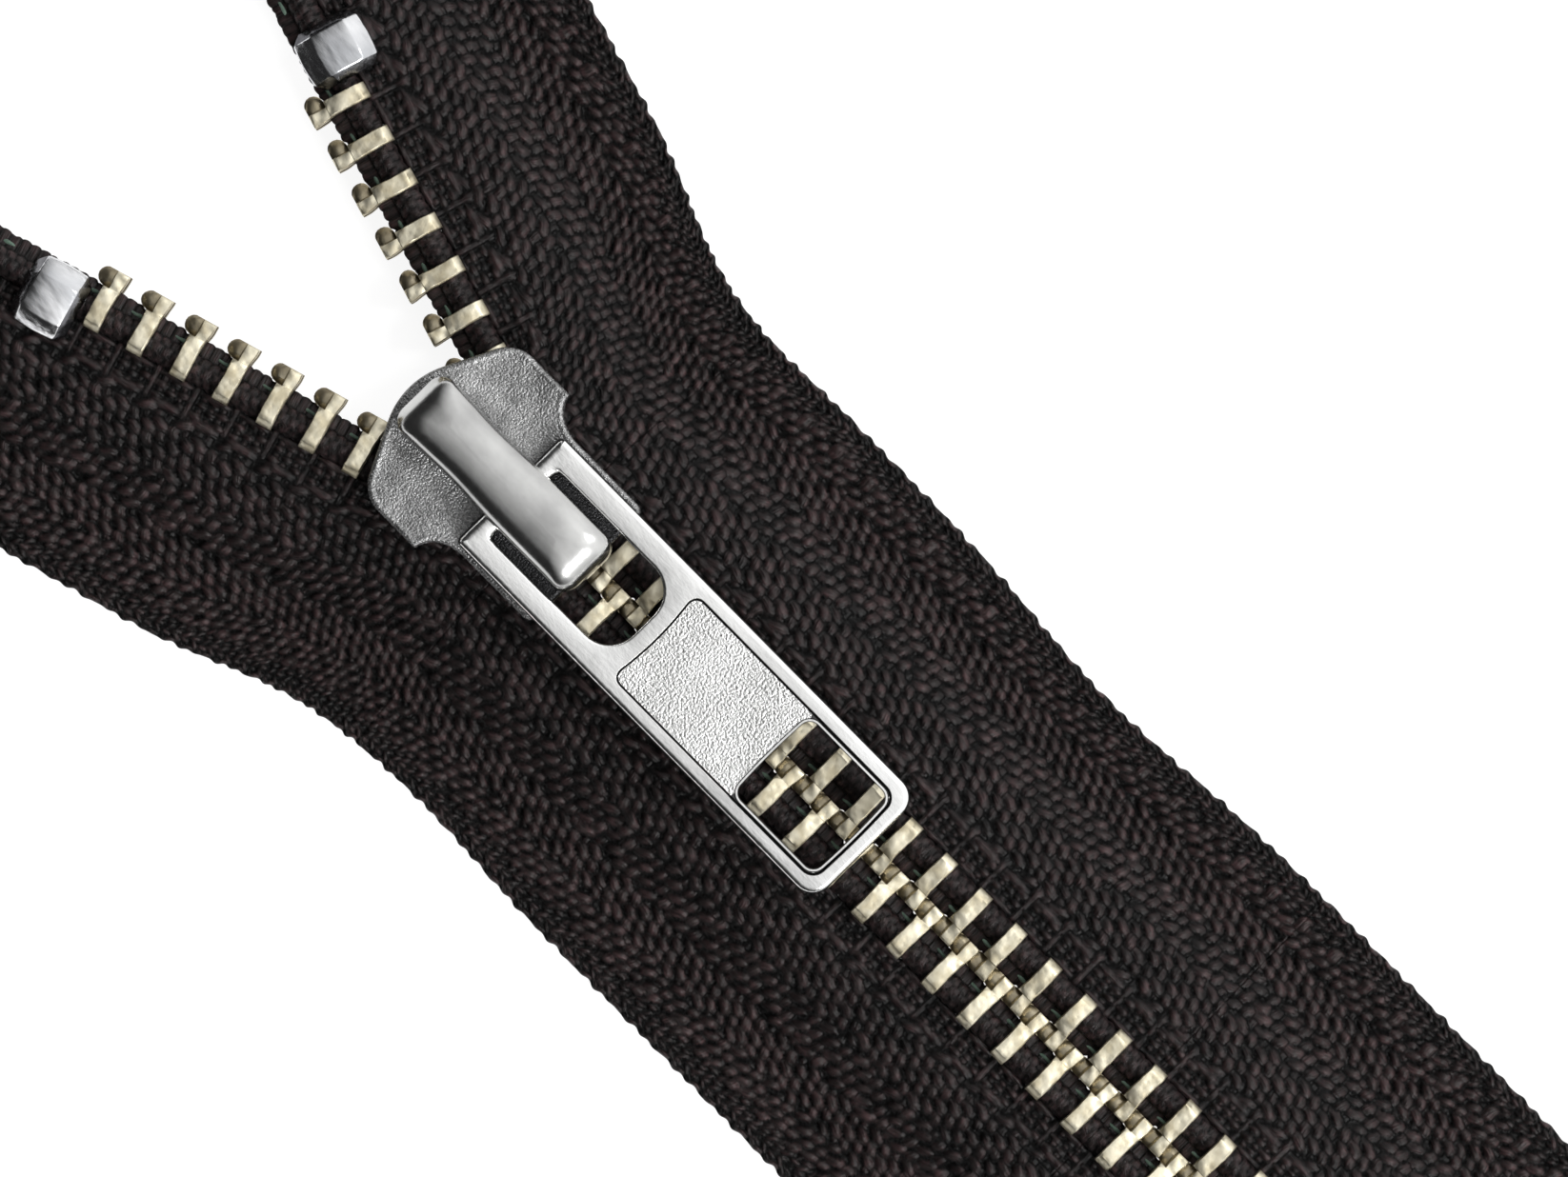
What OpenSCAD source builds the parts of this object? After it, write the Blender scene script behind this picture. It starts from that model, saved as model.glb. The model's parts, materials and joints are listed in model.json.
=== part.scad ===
// Closed-end metal zipper with an auto-lock slider, drawn part open: the rows are closed
// below the slider and run apart above it. Each tape carries a cord along its inner edge,
// and the teeth and stops are crimped on the cords.
//
// +Y runs along the chain towards the open end, +Z is the side with the pull tab, and
// z = 0 is the surface that the slider and the tapes lie on. Each module is drawn with
// y = 0 at the place where the two rows begin to part, and in_place() then moves it so
// that the origin is under the middle of the whole zipper.

/* [Chain] */
// Spacing of the teeth along one row
pitch = 2.6; // [2.5:0.05:2.8]
// Travel of the slider down to the bottom stop, in teeth
travel_teeth = 25; // [15:1:30]
// Angle between each open row and the closed chain
flare_angle = 16; // [15:0.25:17]
// Length of row that bends away inside the slider
flare_len = 9.6; // [9.2:0.1:10]
// First open tooth of the left row, ahead of the slider's mouth
first_tooth = 0.2; // [0.1:0.05:0.4]

/* [Teeth] */
// From the chain's axis to the outer end of a tooth
tooth_out = 2.9; // [2.85:0.05:3]
// How far a tooth's tip reaches past the chain's axis
tip_past = 0.5; // [0.4:0.02:0.56]
// Thickness of a tooth along the chain
tooth_t = 0.92; // [0.84:0.02:0.96]
// Height of a tooth over its jaws
jaw_h = 2.5; // [2.4:0.05:2.7]
// Height of a tooth over its head
head_h = 2.1; // [1.9:0.05:2.3]
// From the chain's axis to the place where the head becomes the jaws
neck_x = 1.2; // [1.1:0.05:1.25]
// Bevel at the outer end of the jaws
jaw_bevel = 0.3; // [0.15:0.05:0.4]
// Radius of the nib that enters the next tooth
nib_r = 0.52; // [0.46:0.02:0.54]
// Height of the nib
nib_h = 0.85; // [0.7:0.05:1]
// From the middle of a tooth to the middle of its nib, along the chain
nib_y = 0.55; // [0.5:0.01:0.57]
// Room around a nib in the pocket that takes it
pocket_play = 0.08; // [0.05:0.01:0.1]

/* [Tapes and cords] */
// From the chain's axis to the outer edge of a tape
tape_half = 15.2; // [14:0.2:18]
// Thickness of the woven tape
tape_t = 0.45; // [0.35:0.05:0.5]
// Length of tape beyond the stops at each end
tape_tail = 15; // [8:1:25]
// From the chain's axis to where the tape starts to slope down
shelf_half = 6.1; // [6:0.05:6.8]
// Width of the stretch of tape that slopes down
slope_w = 3.2; // [2.6:0.1:4.5]
// How far the tape's outer edge starts to bend before the row does
edge_lead = 8; // [6:0.5:10]
// Extra length over which the tape's outer edge bends
edge_stretch = 14.4; // [12:0.4:18]
// Diameter of the cord on the tape's edge
cord_d = 1.6; // [1.4:0.05:1.7]
// From the outer end of a tooth to the middle of its cord
cord_inset = 0.9; // [0.86:0.02:0.96]
// Diameter of the marker thread beside the cord
thread_d = 0.24; // [0.16:0.02:0.28]
// From the chain's axis to the marker thread
thread_x = 1.02; // [0.98:0.02:1.08]
// Room between a crimped piece and the cord, thread or tape in it
crimp_play = 0.06; // [0.04:0.01:0.08]

/* [Slider] */
// Length of the slider from mouth to tail
slider_len = 13.25; // [13:0.05:14]
// Half of the width across the shoulders
shoulder_half = 5.7; // [5.65:0.05:5.85]
// Half of the width at the tail
tail_half = 4.2; // [4.05:0.05:4.5]
// Thickness of each plate
plate_t = 0.95; // [0.8:0.05:1.2]
// Room above and below the chain inside the slider
chain_play = 0.15; // [0.1:0.01:0.25]
// Room beside the rows inside the slider
row_play = 0.2; // [0.15:0.01:0.25]
// Room between the slider's wedge and the nibs that pass it
wedge_play = 0.16; // [0.12:0.01:0.22]
// Height of the slit that each tape runs through
slit_h = 0.9; // [0.8:0.05:1]
// From the shoulder's lower corner to the mouth
shoulder_drop = 6.2; // [5.9:0.1:6.5]
// From the tail's upper corner to the mouth
waist_drop = 8.3; // [8:0.1:8.6]
// Radius of the shoulders
shoulder_r = 1.9; // [1.7:0.1:2.1]
// Radius of the crown at the mouth
crown_r = 4.5; // [4:0.1:5]
// Slope of the crown's sides
crown_slope = 26; // [25:0.5:28]

/* [Pull tab] */
// Width of the tab
tab_w = 7.8; // [7.6:0.1:8.2]
// From the tab's pivot to its far end
tab_len = 25.9; // [25:0.1:28]
// Thickness of the tab
tab_t = 1.2; // [1.1:0.02:1.24]
// Radius of the corners at the tab's far end
tab_corner = 1.2; // [0.8:0.1:1.4]
// Width of each arm
arm_w = 1.4; // [1.2:0.05:1.5]
// Room between the tab and the slider's plate
tab_play = 0.15; // [0.1:0.01:0.2]
// From the slider's mouth to the tab's pivot
pivot_drop = 8.05; // [8:0.05:8.15]
// From the pivot to the rounded end of the upper window
yoke_len = 9.4; // [9:0.1:10]
// Corner radius of the upper window
yoke_corner = 1.75; // [1.4:0.05:2]
// Width of the lower window
loop_w = 5.6; // [5.2:0.1:5.8]
// Length of the lower window
loop_len = 5.85; // [5.2:0.05:6.2]
// Metal between the lower window and the tab's far end
loop_border = 1.1; // [1:0.05:1.4]
// Corner radius of the lower window
loop_corner = 0.6; // [0.4:0.05:1]
// Width of the raised rim around the panel
rim_w = 0.85; // [0.6:0.05:1]
// Depth of the panel below the rim
panel_depth = 0.12; // [0.08:0.01:0.2]
// Metal between the upper window and the panel
panel_gap = 0.7; // [0.5:0.05:1]
// Width of the lip around the lower window
lip_w = 0.22; // [0.14:0.02:0.26]

/* [Cover and lock spring] */
// Width of the cover
cover_w = 3.9; // [3.8:0.05:4]
// Height of the cover above the slider's plate
cover_h = 2.75; // [2.7:0.05:3.2]
// Sheet thickness of the cover
cover_wall = 0.45; // [0.35:0.02:0.5]
// From the slider's mouth to the front of the cover
cover_front = 0.6; // [0.5:0.05:0.8]
// How far the cover reaches past the slider's tail
cover_past = 0.4; // [0.2:0.05:0.6]
// Radius of the cover's front and rear ends
cover_end_r = 1.6; // [1.3:0.1:1.8]
// Radius of the cover's long edges
cover_edge_r = 0.9; // [0.7:0.05:1]
// Room between the tab's crossbar and the posts beside it
post_play = 0.2; // [0.15:0.01:0.25]
// Thickness of the lock spring
spring_t = 0.25; // [0.2:0.01:0.28]
// Room between the lock spring and what lies under it
spring_play = 0.15; // [0.12:0.01:0.18]
// Width of the spring's pawl
pawl_w = 0.6; // [0.5:0.02:0.64]
// Length of the pawl along the chain
pawl_len = 0.8; // [0.7:0.02:0.9]
// How deep the pawl reaches between the teeth
pawl_bite = 0.35; // [0.25:0.01:0.4]

/* [Stops] */
// Width of a top stop across the tape
top_stop_w = 3.9; // [3.6:0.1:4.2]
// Length of a top stop along the tape
top_stop_len = 3.3; // [3:0.1:3.8]
// Height of a top stop
top_stop_h = 2.9; // [2.7:0.1:3.2]
// Bevel at each end of a top stop
top_stop_bevel = 0.55; // [0.4:0.05:0.7]
// Half of the height of a top stop's side flats
top_stop_flat = 0.75; // [0.6:0.05:0.9]
// Width of the flat that slopes down to a top stop's inner side
top_stop_slope = 1.05; // [0.8:0.05:1.2]
// How far a top stop reaches outwards past the teeth
top_stop_out = 1.5; // [1.3:0.05:1.6]
// Width of the bottom stop across both rows
bottom_stop_w = 6.2; // [6:0.1:7]
// Length of the bottom stop
bottom_stop_len = 3.2; // [2.8:0.1:4]
// Height of the bottom stop
bottom_stop_h = 2.9; // [2.7:0.1:3.2]
// Bevel along the bottom stop's sides
bottom_stop_bevel = 0.4; // [0.2:0.05:0.6]
// Room between the lowered slider and the bottom stop
stop_gap = 0.35; // [0.3:0.05:0.6]
// Gap along the cord between a top stop and the last tooth
stop_space = 0.45; // [0.3:0.05:0.7]

/* [Hidden] */
$fn = 48;
fabric = [0.18, 0.15, 0.16];
thread_green = [0.55, 0.66, 0.58];
tooth_metal = [0.80, 0.76, 0.62];
stop_metal = [0.78, 0.79, 0.80];
slider_metal = [0.62, 0.62, 0.62];
tab_metal = [0.80, 0.80, 0.80];
spring_metal = [0.70, 0.70, 0.72];

// What the cutting shapes run past the faces that they cut
over = 1;
// Spacing of the places along a bend
bend_step = 1.6;
// Number of open teeth drawn one by one in each row
open_left = 7;
open_right = 6;

// Heights
chain_z = plate_t + chain_play + jaw_h / 2;
roof_z = plate_t + 2 * chain_play + jaw_h;
deck_z = roof_z + plate_t;

// Cords, threads and the holes crimped around them
cord_x = tooth_out - cord_inset;
bore_r = cord_d / 2 + crimp_play;
thread_bore_r = thread_d / 2 + crimp_play;
slot_h = tape_t + 2 * crimp_play;
tape_in = cord_x + cord_d / 2 - crimp_play;

// Pocket that takes the nib of the opposite tooth
pocket_r = nib_r + pocket_play;
pocket_h = nib_h + 2 * pocket_play;
pocket_y = nib_y - pitch / 2;

// Places along the chain
mouth_y = flare_len;
tail_y = mouth_y - slider_len;
travel = travel_teeth * pitch;
left_first = mouth_y + first_tooth;
right_first = left_first + pitch / 2;
bottom_stop_top = tail_y - travel - stop_gap;
bottom_stop_end = bottom_stop_top - bottom_stop_len;
row_teeth = ceil((mouth_y - bottom_stop_top) / pitch) + 1;
stop_step = tooth_t / 2 + stop_space + top_stop_len / 2;
left_stop_y = left_first + (open_left - 1) * pitch + stop_step;
right_stop_y = right_first + (open_right - 1) * pitch + stop_step;
tape_bottom = bottom_stop_end - tape_tail;
tape_top = left_stop_y + top_stop_len / 2 + tape_tail;
thread_in = thread_x - thread_d / 2;
reach_top = tape_top * cos(flare_angle) - thread_in * sin(flare_angle);
shift_y = -(tape_bottom + reach_top) / 2;

// Crossbar, posts, cover and spring
bar_r = tab_t / 2;
pivot_y = mouth_y - pivot_drop;
pivot_z = deck_z + tab_play + bar_r;
post_top = deck_z + tab_play + tab_t;
spring_z = post_top + spring_play;
cover_len = slider_len - cover_front + cover_past;
cover_y = tail_y - cover_past;
front_post_w = 1.8;
front_post_end = mouth_y - cover_front - cover_end_r - cover_wall;
rear_post_end = tail_y + cover_wall;
rear_post_left = 1.2;
rear_post_right = 0.45;
pawl_gap = 0.3;
pawl_x = rear_post_right + pawl_gap;
wedge_tip = 0.1;
pawl_back = 1.15;
pawl_y = pivot_y - bar_r - pawl_back - pawl_len;
pawl_play = 0.15;
spring_left = 0.8;

// Share of the full flare at a distance c past the place where the rows part, when the
// bend starts at c0 and takes the length l
function share(c, c0 = 0, l = flare_len) =
    let (t = min(max((c - c0) / l, 0), 1)) t * t * (3 - 2 * t);

// Turn of a left tooth at the distance c
function turn(c) = flare_angle * share(c);

// A point of the left row at x across and c along, turned by the angle a
function turned(x, c, a) = [x * cos(a) - c * sin(a), x * sin(a) + c * cos(a)];

// Turn of the left tape: its outer edge starts to bend earlier and bends more gently
function tape_turn(x, c) =
    let (u = min(max((-x - tape_in) / (tape_half - tape_in), 0), 1))
    flare_angle * share(c, -edge_lead * u, flare_len + edge_stretch * u);

// Drop of the tape from the chain's mid-plane at x across
function tape_drop(x) =
    (chain_z - tape_t / 2) * min(max((-x - shelf_half) / slope_w, 0), 1);

// Faces that join rings of n points one after another. Each end is closed by a strip of
// faces between point i and the point n - 1 - i opposite it.
function swept_faces(rings, n) = concat(
    [for (i = [0:n / 2 - 2]) [n - 1 - i, n - 2 - i, i + 1, i]],
    [for (r = [0:rings - 2], i = [0:n - 1])
        [r * n + i, r * n + (i + 1) % n, (r + 1) * n + (i + 1) % n]],
    [for (r = [0:rings - 2], i = [0:n - 1])
        [r * n + i, (r + 1) * n + (i + 1) % n, (r + 1) * n + i]],
    [for (i = [0:n / 2 - 2], e = [(rings - 1) * n])
        [e + i, e + i + 1, e + n - 2 - i, e + n - 1 - i]]
);

module in_place() {
    translate([0, shift_y, 0]) children();
}

// Left-hand shapes as drawn, right-hand ones mirrored
module on_side(right) {
    mirror([right ? 1 : 0, 0, 0]) children();
}

// ---- Tapes, cords and marker threads ----

module tape(right) {
    stations = concat(
        [-tape_in, -(tape_in + shelf_half) / 2],
        [-shelf_half, -shelf_half - slope_w / 2, -shelf_half - slope_w],
        [for (i = [1:3])
            -shelf_half - slope_w - (tape_half - shelf_half - slope_w) * i / 3]
    );
    bend_end = flare_len + edge_stretch - edge_lead;
    places = concat(
        [tape_bottom],
        [for (c = [-edge_lead:bend_step:bend_end]) c],
        [bend_end + bend_step, tape_top]
    );
    n = len(stations);
    points = [for (c = places, k = [0:2 * n - 1])
        let (
            below = k < n,
            x = stations[below ? k : 2 * n - 1 - k],
            p = turned(x, c, tape_turn(x, c)),
            z = chain_z - tape_drop(x) + (below ? -1 : 1) * tape_t / 2
        )
        [p[0], p[1], z]];
    color(fabric) in_place() on_side(right)
        polyhedron(points = points, faces = swept_faces(len(places), 2 * n));
}

// Round strand that follows the row at x across
module strand(x, d, sides) {
    places = concat([tape_bottom], [for (c = [0:bend_step / 2:flare_len]) c],
        [flare_len + bend_step, tape_top]);
    points = [for (c = places, k = [0:sides - 1])
        let (
            a = -360 * k / sides,
            p = turned(-x + d / 2 * cos(a), c, turn(c))
        )
        [p[0], p[1], chain_z + d / 2 * sin(a)]];
    polyhedron(points = points, faces = swept_faces(len(places), sides));
}

module cord(right) {
    color(fabric) in_place() on_side(right) strand(cord_x, cord_d, 10);
}

module marker_thread(right) {
    color(thread_green) in_place() on_side(right) strand(thread_x, thread_d, 6);
}

// Holes for the cord and the thread and the slot for the tape, through length l
module crimp_cut(l, slot_out) {
    translate([-cord_x, 0, 0]) rotate([90, 0, 0])
        cylinder(r = bore_r, h = l + 2 * over, center = true);
    translate([-thread_x, 0, 0]) rotate([90, 0, 0])
        cylinder(r = thread_bore_r, h = l + 2 * over, center = true);
    translate([-slot_out - over, -l / 2 - over, -slot_h / 2])
        cube([slot_out + over - cord_x, l + 2 * over, slot_h]);
}

// ---- Teeth ----

// Outline of a left tooth seen along the chain
module tooth_outline() {
    top = jaw_h / 2;
    head = head_h / 2;
    polygon([
        [-tooth_out, top - jaw_bevel], [-tooth_out + jaw_bevel, top],
        [-neck_x, top], [-neck_x + (top - head), head], [tip_past, head],
        [tip_past, -head], [-neck_x + (top - head), -head], [-neck_x, -top],
        [-tooth_out + jaw_bevel, -top], [-tooth_out, -top + jaw_bevel]
    ]);
}

// One left tooth: jaws crimped on the cord, a head with a nib on its upper side, and a
// pocket on its lower side that is open towards the tip
module tooth_shape() {
    ledge_y = nib_y - nib_r + pocket_play;
    difference() {
        union() {
            rotate([90, 0, 0])
                linear_extrude(height = tooth_t, center = true) tooth_outline();
            translate([0, nib_y, 0]) cylinder(r = nib_r, h = nib_h, center = true);
        }
        crimp_cut(tooth_t, tooth_out);
        translate([0, pocket_y, 0]) cylinder(r = pocket_r, h = pocket_h, center = true);
        translate([0, -tooth_t, -pocket_h / 2])
            cube([tip_past + over, tooth_t + pocket_y + pocket_r, pocket_h]);
        for (flip = [0, 1]) mirror([0, 0, flip])
            translate([-nib_r, ledge_y, nib_h / 2])
                cube([nib_r + tip_past + over, tooth_t, head_h]);
    }
}

// A left tooth at the distance c along its row
module tooth_at(c) {
    rotate([0, 0, turn(c)]) translate([0, c, chain_z]) tooth_shape();
}

module open_tooth(right, number) {
    count = right ? open_right : open_left;
    first = right ? right_first : left_first;
    color(tooth_metal) in_place() on_side(right)
        tooth_at(first + (count - number) * pitch);
}

// The teeth of one row between the places low and high
module tooth_run(right, low, high) {
    first = right ? right_first : left_first;
    color(tooth_metal) in_place() on_side(right)
        for (k = [1:row_teeth]) {
            c = first - k * pitch;
            if (c > low && c <= high) tooth_at(c);
        }
}

module channel_teeth(right) {
    tooth_run(right, 0, mouth_y);
}

module closed_teeth(right) {
    tooth_run(right, bottom_stop_top + tooth_t / 2 + crimp_play, 0);
}

// ---- Stops ----

// Barrel crimped over the edge of the tape, with eight long flats and bevelled ends
module top_stop(right) {
    c = right ? right_stop_y : left_stop_y;
    out = -tooth_out - top_stop_out;
    in = out + top_stop_w;
    top = top_stop_h / 2;
    end = top_stop_len / 2;
    color(stop_metal) in_place() on_side(right)
        rotate([0, 0, turn(c)]) translate([0, c, chain_z]) difference() {
            intersection() {
                rotate([90, 0, 0])
                    linear_extrude(height = top_stop_len, center = true) polygon([
                        [out, top_stop_flat], [out + top_stop_flat, top],
                        [in - top_stop_slope, top], [in, top_stop_flat],
                        [in, -top_stop_flat], [in - top_stop_slope, -top],
                        [out + top_stop_flat, -top], [out, -top_stop_flat]
                    ]);
                translate([(out + in) / 2, 0, 0]) rotate([0, -90, 0])
                    linear_extrude(height = top_stop_w + over, center = true)
                        bevelled(2 * top, 2 * end, top_stop_bevel);
            }
            crimp_cut(top_stop_len, -out);
        }
}

// Rectangle with its corners cut at 45 degrees
module bevelled(w, l, bevel) {
    x = w / 2;
    y = l / 2;
    polygon([
        [-x, y - bevel], [-x + bevel, y], [x - bevel, y], [x, y - bevel],
        [x, -y + bevel], [x - bevel, -y], [-x + bevel, -y], [-x, -y + bevel]
    ]);
}

// Wide clamp over both cords that ends the chain
module bottom_stop() {
    color(stop_metal) in_place()
        translate([0, bottom_stop_top - bottom_stop_len / 2, chain_z]) difference() {
            rotate([90, 0, 0]) linear_extrude(height = bottom_stop_len, center = true)
                bevelled(bottom_stop_w, bottom_stop_h, bottom_stop_bevel);
            for (right = [false, true]) on_side(right)
                crimp_cut(bottom_stop_len, bottom_stop_w / 2);
        }
}

// ---- Slider ----

// Half of the plate's outline, from the middle of the mouth to the middle of the tail
function plate_half() =
    let (
        // the crown: an arc over the axis, then straight sides
        arc_x = crown_r * sin(crown_slope),
        arc_y = mouth_y - crown_r * (1 - cos(crown_slope)),
        // the shoulder's arc meets the crown's side and the straight edge
        cx = shoulder_half - shoulder_r,
        sx = cx + shoulder_r * sin(crown_slope),
        sy = arc_y - (sx - arc_x) * tan(crown_slope),
        cy = sy - shoulder_r * cos(crown_slope),
        // the waist: a hollow quarter arc from the shoulder's corner to the tail
        drop = waist_drop - shoulder_drop,
        step_in = shoulder_half - tail_half
    )
    concat(
        [for (i = [0:4]) let (a = crown_slope * i / 4)
            [crown_r * sin(a), mouth_y - crown_r * (1 - cos(a))]],
        [for (i = [0:5]) let (a = crown_slope + (90 - crown_slope) * i / 5)
            [cx + shoulder_r * sin(a), cy + shoulder_r * cos(a)]],
        [[shoulder_half, mouth_y - shoulder_drop]],
        [for (i = [1:5]) let (a = 90 * i / 5)
            [shoulder_half - step_in * sin(a), mouth_y - shoulder_drop - drop * (1 - cos(a))]],
        [[tail_half, tail_y]]
    );

module plate_outline() {
    right_half = plate_half();
    last = len(right_half) - 1;
    polygon(concat(right_half, [for (i = [last:-1:1]) [-right_half[i][0], right_half[i][1]]]));
}

// Room for the two rows, which widens with them towards the mouth: each side follows the
// lower outer corner of a tooth that passes
module channel_outline() {
    steps = 12;
    half = [for (i = [0:steps])
        let (
            c = flare_len * i / steps,
            p = turned(-tooth_out, c - tooth_t / 2, turn(c))
        )
        [-p[0] + row_play, p[1]]];
    low = [tooth_out + row_play, tail_y - over];
    high = [half[steps][0] + over, mouth_y + over];
    side = concat([low], half, [high]);
    last = len(side) - 1;
    polygon(concat(side, [for (i = [last:-1:0]) [-side[i][0], side[i][1]]]));
}

// Wedge that parts the rows: its sides keep clear of the nibs as they turn away
module wedge_outline() {
    steps = 8;
    low = flare_len / 2;
    side = [for (i = [0:steps])
        let (
            c = low + (flare_len + over - low) * i / steps,
            p = turned(0, c + nib_y, turn(c)),
            w = -p[0] - nib_r - wedge_play
        )
        if (w > wedge_tip) [w, p[1]]];
    last = len(side) - 1;
    intersection() {
        plate_outline();
        polygon(concat(side, [for (i = [last:-1:0]) [-side[i][0], side[i][1]]]));
    }
}

module flange_outline() {
    difference() {
        plate_outline();
        channel_outline();
    }
}

// Top and bottom plates joined by the wedge, with a flange along each edge of both
// plates and two posts that carry the cover
module slider_body() {
    flange_h = chain_z - slit_h / 2 - plate_t;
    bar_room = bar_r + post_play;
    color(slider_metal) in_place() difference() {
        union() {
            linear_extrude(height = plate_t) plate_outline();
            translate([0, 0, roof_z]) linear_extrude(height = plate_t) plate_outline();
            translate([0, 0, plate_t / 2])
                linear_extrude(height = roof_z) wedge_outline();
            translate([0, 0, plate_t / 2])
                linear_extrude(height = plate_t / 2 + flange_h) flange_outline();
            translate([0, 0, roof_z - flange_h])
                linear_extrude(height = plate_t / 2 + flange_h) flange_outline();
            translate([-front_post_w / 2, pivot_y + bar_room, roof_z])
                cube([front_post_w, front_post_end - pivot_y - bar_room, post_top - roof_z]);
            translate([-rear_post_left, rear_post_end, roof_z])
                cube([rear_post_left + rear_post_right,
                    pivot_y - bar_room - rear_post_end, post_top - roof_z]);
        }
        translate([pawl_x - pawl_play, pawl_y - pawl_play, roof_z - over])
            cube([pawl_w + 2 * pawl_play, pawl_len + 2 * pawl_play, plate_t + 2 * over]);
    }
}

// Bar with rounded ends and long edges, drawn smaller all round by inset
module cover_form(inset) {
    l = cover_len - 2 * inset;
    w = cover_w - 2 * inset;
    h = cover_h - inset;
    re = cover_end_r - inset;
    rs = cover_edge_r - inset;
    translate([0, cover_y + cover_len / 2, deck_z]) intersection() {
        rotate([90, 0, 90]) linear_extrude(height = w, center = true) round_bar(l, h, re);
        rotate([90, 0, 0]) linear_extrude(height = l, center = true) round_bar(w, h, rs);
    }
}

// Rectangle that stands on the axis, with its two upper corners rounded
module round_bar(w, h, r) {
    translate([-w / 2, 0]) square([w, h - r]);
    translate([-w / 2 + r, 0]) square([w - 2 * r, h]);
    for (s = [-1, 1]) translate([s * (w / 2 - r), h - r]) circle(r = r);
}

module slider_cover() {
    bar_room = bar_r + post_play;
    color(tab_metal) in_place() difference() {
        cover_form(0);
        for (drop = [0, over]) translate([0, 0, -drop]) cover_form(cover_wall);
        translate([-cover_w, pivot_y - bar_room, deck_z - over])
            cube([2 * cover_w, 2 * bar_room, over + tab_play + tab_t + spring_play / 2]);
    }
}

// Leaf that lies on the posts under the cover, with a pawl that reaches into the chain
module lock_spring() {
    tip_z = chain_z + jaw_h / 2 - pawl_bite;
    leaf_end = front_post_end - cover_wall;
    color(spring_metal) in_place() {
        translate([-spring_left, pawl_y, spring_z])
            cube([spring_left + pawl_x + pawl_w, leaf_end - pawl_y, spring_t]);
        translate([pawl_x, pawl_y, tip_z])
            cube([pawl_w, pawl_len, spring_z + spring_t / 2 - tip_z]);
    }
}

// ---- Pull tab ----

// Rectangle from the pivot down to y = -l, with its two far corners rounded
module tab_shape(w, l, r) {
    translate([-w / 2, -l + r]) square([w, l - r]);
    translate([-w / 2 + r, -l]) square([w - 2 * r, l]);
    for (s = [-1, 1]) translate([s * (w / 2 - r), -l + r]) circle(r = r);
}

// Rounded window, middle at y across the tab's axis
module window(w, l, y, r) {
    translate([0, y]) {
        square([w, l - 2 * r], center = true);
        square([w - 2 * r, l], center = true);
        for (sx = [-1, 1], sy = [-1, 1])
            translate([sx * (w / 2 - r), sy * (l / 2 - r)]) circle(r = r);
    }
}

// Flat tab with a crossbar that turns under the cover, a yoke window that clears the
// cover, a sunk panel on both faces and a loop window at its far end
module pull_tab() {
    yoke_w = tab_w - 2 * arm_w;
    loop_y = -tab_len + loop_border + loop_len / 2;
    panel_top = -yoke_len - panel_gap;
    panel_len = tab_len - loop_border / 2 - yoke_len - panel_gap;
    lip = loop_w / 2 + lip_w;
    color(tab_metal) in_place() translate([0, pivot_y, pivot_z]) union() {
        rotate([0, 90, 0]) cylinder(r = bar_r, h = tab_w, center = true);
        difference() {
            translate([0, 0, -tab_t / 2]) linear_extrude(height = tab_t)
                tab_shape(tab_w, tab_len, tab_corner);
            translate([-yoke_w / 2, -yoke_len + yoke_corner, -tab_t])
                cube([yoke_w, yoke_len - yoke_corner + over, 2 * tab_t]);
            translate([0, 0, -tab_t]) linear_extrude(height = 2 * tab_t) {
                window(yoke_w, 4 * yoke_corner, -yoke_len + 2 * yoke_corner, yoke_corner);
                window(loop_w, loop_len, loop_y, loop_corner);
            }
            for (flip = [0, 1]) mirror([0, 0, flip])
                translate([0, 0, tab_t / 2 - panel_depth])
                    linear_extrude(height = panel_depth + over) difference() {
                        window(tab_w - 2 * rim_w, panel_len, panel_top - panel_len / 2,
                            loop_corner + lip_w);
                        window(2 * lip, loop_len + 2 * lip_w, loop_y, loop_corner + lip_w);
                    }
        }
    }
}

tape(false);  // tape_left
tape(true);  // tape_right
cord(false);  // cord_left
cord(true);  // cord_right
marker_thread(false);  // marker_thread_left
marker_thread(true);  // marker_thread_right
open_tooth(false, 1);  // tooth_left_01
open_tooth(false, 2);  // tooth_left_02
open_tooth(false, 3);  // tooth_left_03
open_tooth(false, 4);  // tooth_left_04
open_tooth(false, 5);  // tooth_left_05
open_tooth(false, 6);  // tooth_left_06
open_tooth(false, 7);  // tooth_left_07
open_tooth(true, 1);  // tooth_right_01
open_tooth(true, 2);  // tooth_right_02
open_tooth(true, 3);  // tooth_right_03
open_tooth(true, 4);  // tooth_right_04
open_tooth(true, 5);  // tooth_right_05
open_tooth(true, 6);  // tooth_right_06
channel_teeth(false);  // teeth_left_channel
channel_teeth(true);  // teeth_right_channel
closed_teeth(false);  // teeth_left_closed
closed_teeth(true);  // teeth_right_closed
top_stop(false);  // top_stop_left
top_stop(true);  // top_stop_right
bottom_stop();
slider_body();
slider_cover();
lock_spring();
pull_tab();
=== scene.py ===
import json
import math

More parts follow.
